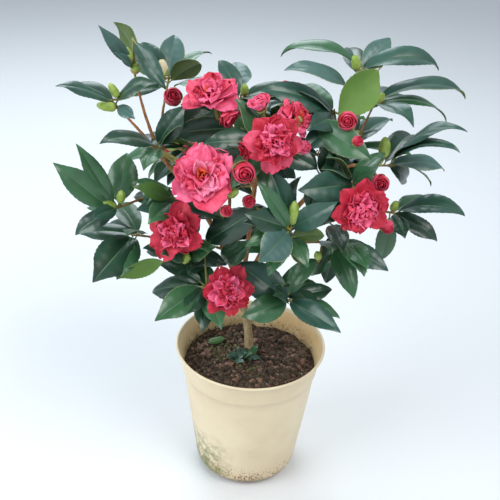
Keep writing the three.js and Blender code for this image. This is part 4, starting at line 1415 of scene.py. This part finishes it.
def dress_shoot(shoot, run, chance):
    """Every leaf of one shoot: the leading ones near the tip, then those down the bough."""
    whorl = whorl_of(shoot)
    low, high = (np.array(corner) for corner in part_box(f"leaves_{shoot}"))
    parts, stalks = [], []
    bough_way = unit(run[-1] - run[-4])
    behind = shoot.startswith("back")
    for i, leading in enumerate(LEADING[shoot]):
        heading, rise, reach, tone, breadth, arch, face, *held = leading
        tip = whorl + heading_way(heading, rise) * reach * MM
        joint = nearest_on(run, run[-1] - bough_way * (2 * MM + LEAF_SPACING * 0.62 * i))
        if behind and not clear_of_blooms(joint, tip):
            continue
        if held:
            spur = whorl + np.array(held[0]) * MM
            bowed = (joint + spur) / 2 + np.array([0, 0, 1.5 * MM])
            along = smooth_run([joint, bowed, spur], 2.5 * MM)
            taper = np.linspace(1.2 * MM, STALK_RADIUS, len(along))
            stalks.append(tube(along, taper, 6, TONES.index("stalk")))
            joint = spur
        stalk_and_leaf(joint, tip, face, breadth, arch, tone, chance, parts, stalks,
                       LEADING_ROWS)
    count = FOLLOWING.get(shoot, FOLLOWING_BEHIND)
    turn = chance.uniform(0, 6.3)
    made = 0
    for attempt in range(count * 6):
        if made == count:
            break
        turn += GOLDEN_TURN
        back = LEAF_SPACING * (2.2 + made * 1.1)
        joint = run[max(0, len(run) - 1 - int(back / LIMB_STEP))]
        spread = math.radians(chance.uniform(48, 82))
        way = spread_way(bough_way, turn, spread)
        way = unit(way + np.array([0, 0, chance.uniform(-0.25, 0.15)]))
        reach = chance.uniform(46, 64) * MM
        tip = joint + way * reach
        fits = within(tip, low, high, 4 * MM) and clear_of_blooms(joint, tip)
        if attempt < count * 5 and not fits:
            continue
        made += 1
        tone = chance.choice(["deep", "green", "teal", "olive"], p=[0.5, 0.3, 0.15, 0.05])
        following_leaf(joint, tip, tone, behind, chance, parts, stalks)
    return parts, stalks


def dress_twig(home, run, chance):
    """The few leaves of a side twig, from its tip down, wherever a mass has room for them."""
    parts, stalks = [], []
    along = unit(run[-1] - run[-3])
    turn = chance.uniform(0, 6.3)
    behind = home.startswith("back")
    for i in range(TWIG_LEAVES):
        turn += GOLDEN_TURN
        spread = math.radians(chance.uniform(35, 75))
        way = spread_way(along, turn, spread)
        joint = run[max(1, len(run) - 1 - i)]
        tip = joint + unit(way + np.array([0, 0, -0.1])) * chance.uniform(44, 62) * MM
        mass = home_of(tip, 8 * MM)
        if mass is None or mass in OPEN_MASSES or not clear_of_blooms(joint, tip):
            continue
        tone = chance.choice(["deep", "green", "teal"], p=[0.6, 0.3, 0.1])
        following_leaf(joint, tip, tone, behind, chance, parts, stalks)
    return parts, stalks


def side_of(shoot):
    if shoot.startswith("back"):
        return "behind"
    return "left" if whorl_of(shoot)[0] < -20 * MM else "right"


def leaf_material(name, dark, light, roughness, coat):
    material, tree, shader = start_material(name, dark, roughness)
    mottle = ramp(tree, noise(tree, 34, 3, 0.5), [(0.25, dark), (0.75, light)])
    tree.links.new(mottle, shader.inputs["Base Color"])
    shader.inputs["Coat Weight"].default_value = coat
    shader.inputs["Coat Roughness"].default_value = 0.28
    bump(tree, shader, noise(tree, 900, 3, 0.6), 0.12, 0.0003)
    return material


def leaf_materials():
    return [
        leaf_material("leaf_deep", paint(24, 54, 38), paint(40, 76, 56), 0.32, 0.4),
        leaf_material("leaf_green", paint(42, 84, 52), paint(62, 110, 70), 0.34, 0.35),
        # The teal and sheen upper tones are the leaf's own green with painted reflection of the sky in it.
        leaf_material("leaf_teal", paint(31, 68, 54), paint(50, 89, 75), 0.36, 0.34),
        leaf_material("leaf_painted_sheen", paint(56, 90, 83), paint(77, 112, 105), 0.40, 0.34),
        leaf_material("leaf_bright", paint(56, 96, 36), paint(82, 120, 54), 0.40, 0.2),
        leaf_material("leaf_under_olive", paint(60, 82, 34), paint(88, 108, 52), 0.62, 0.0),
        leaf_material("leaf_under_lime", paint(80, 116, 40), paint(102, 138, 56), 0.60, 0.0),
        leaf_material("leaf_rib", paint(64, 104, 74), paint(92, 128, 94), 0.42, 0.2),
        # A painted highlight along leaf margins.
        leaf_material("leaf_edge_highlight", paint(92, 122, 80), paint(136, 148, 108), 0.5, 0.0),
        leaf_material("leaf_stalk", paint(112, 130, 62), paint(150, 140, 84), 0.5, 0.1),
    ]


open_faces = bloom_faces()


def make_seedling():
    """The tuft of small young leaves on the soil before the stem."""
    chance = np.random.default_rng(SEEDLING_SEED)
    parts, stalks = [], []
    for x, y in SEEDLING_TUFTS:
        root = np.array([trunk_foot[0] + x * MM, trunk_foot[1] + y * MM, 0])
        root[2] = soil_height(root[0], root[1])
        crown = root + np.array([0, 0, 5 * MM])
        stem = smooth_run([root, root + np.array([0.3 * MM, 0, 2.5 * MM]), crown], 1.2 * MM)
        stalks.append(tube(stem, 0.5 * MM, 6, TONES.index("stalk")))
        turn = chance.uniform(0, 6.3)
        for _ in range(4):
            turn += GOLDEN_TURN
            way = heading_way(math.degrees(turn), chance.uniform(8, 40))
            tone = chance.choice(["teal", "green", "deep"])
            tip = crown + way * chance.uniform(11, 20) * MM
            parts.append(leaf(crown, tip, facing(way, 0.3), 0.44, 30, 16, tone, chance, SEEDLING_ROWS))
    ends = [np.array([x * MM, y * MM, float(soil_height(x * MM, y * MM)) + 4 * MM])
            for x, y in FALLEN_LEAF]
    upward = np.array([0, -0.3, 0.95])
    parts.append(leaf(*ends, upward, 0.42, 20, 12, "lime", chance, SEEDLING_ROWS))
    tuft = mesh_piece("seedling", *join_parts(parts + stalks), leaf_materials())
    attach(tuft, "root")


def make_leaves(runs, twigs):
    kinds = leaf_materials()
    groups = {"left": [], "right": [], "behind": []}
    inner = {"left": [], "right": [], "behind": []}
    stalks = []
    for number, shoot in enumerate(WHORL_SHARES):
        parts, stems = dress_shoot(shoot, runs[shoot], np.random.default_rng(SHOOT_SEED + number))
        groups[side_of(shoot)] += parts
        stalks += stems
    for number, (home, run) in enumerate(twigs):
        parts, stems = dress_twig(home, run, np.random.default_rng(TWIG_LEAF_SEED + number))
        inner[side_of(home)] += parts
        stalks += stems
    for side in groups:
        outer_piece = mesh_piece(f"leaves_{side}", *join_parts(groups[side]), kinds)
        inner_piece = mesh_piece(f"inner_leaves_{side}", *join_parts(inner[side]), kinds)
        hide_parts(*(f"leaves_{shoot}" for shoot in WHORL_SHARES if side_of(shoot) == side))
        for piece in (outer_piece, inner_piece):
            piece.data.set_sharp_from_angle(angle=SHARP_ANGLE)
            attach(piece, "root")
    stems = mesh_piece("leaf_stalks", *join_parts(stalks), kinds)
    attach(stems, "root")


make_leaves(limb_runs, twig_runs)
make_seedling()
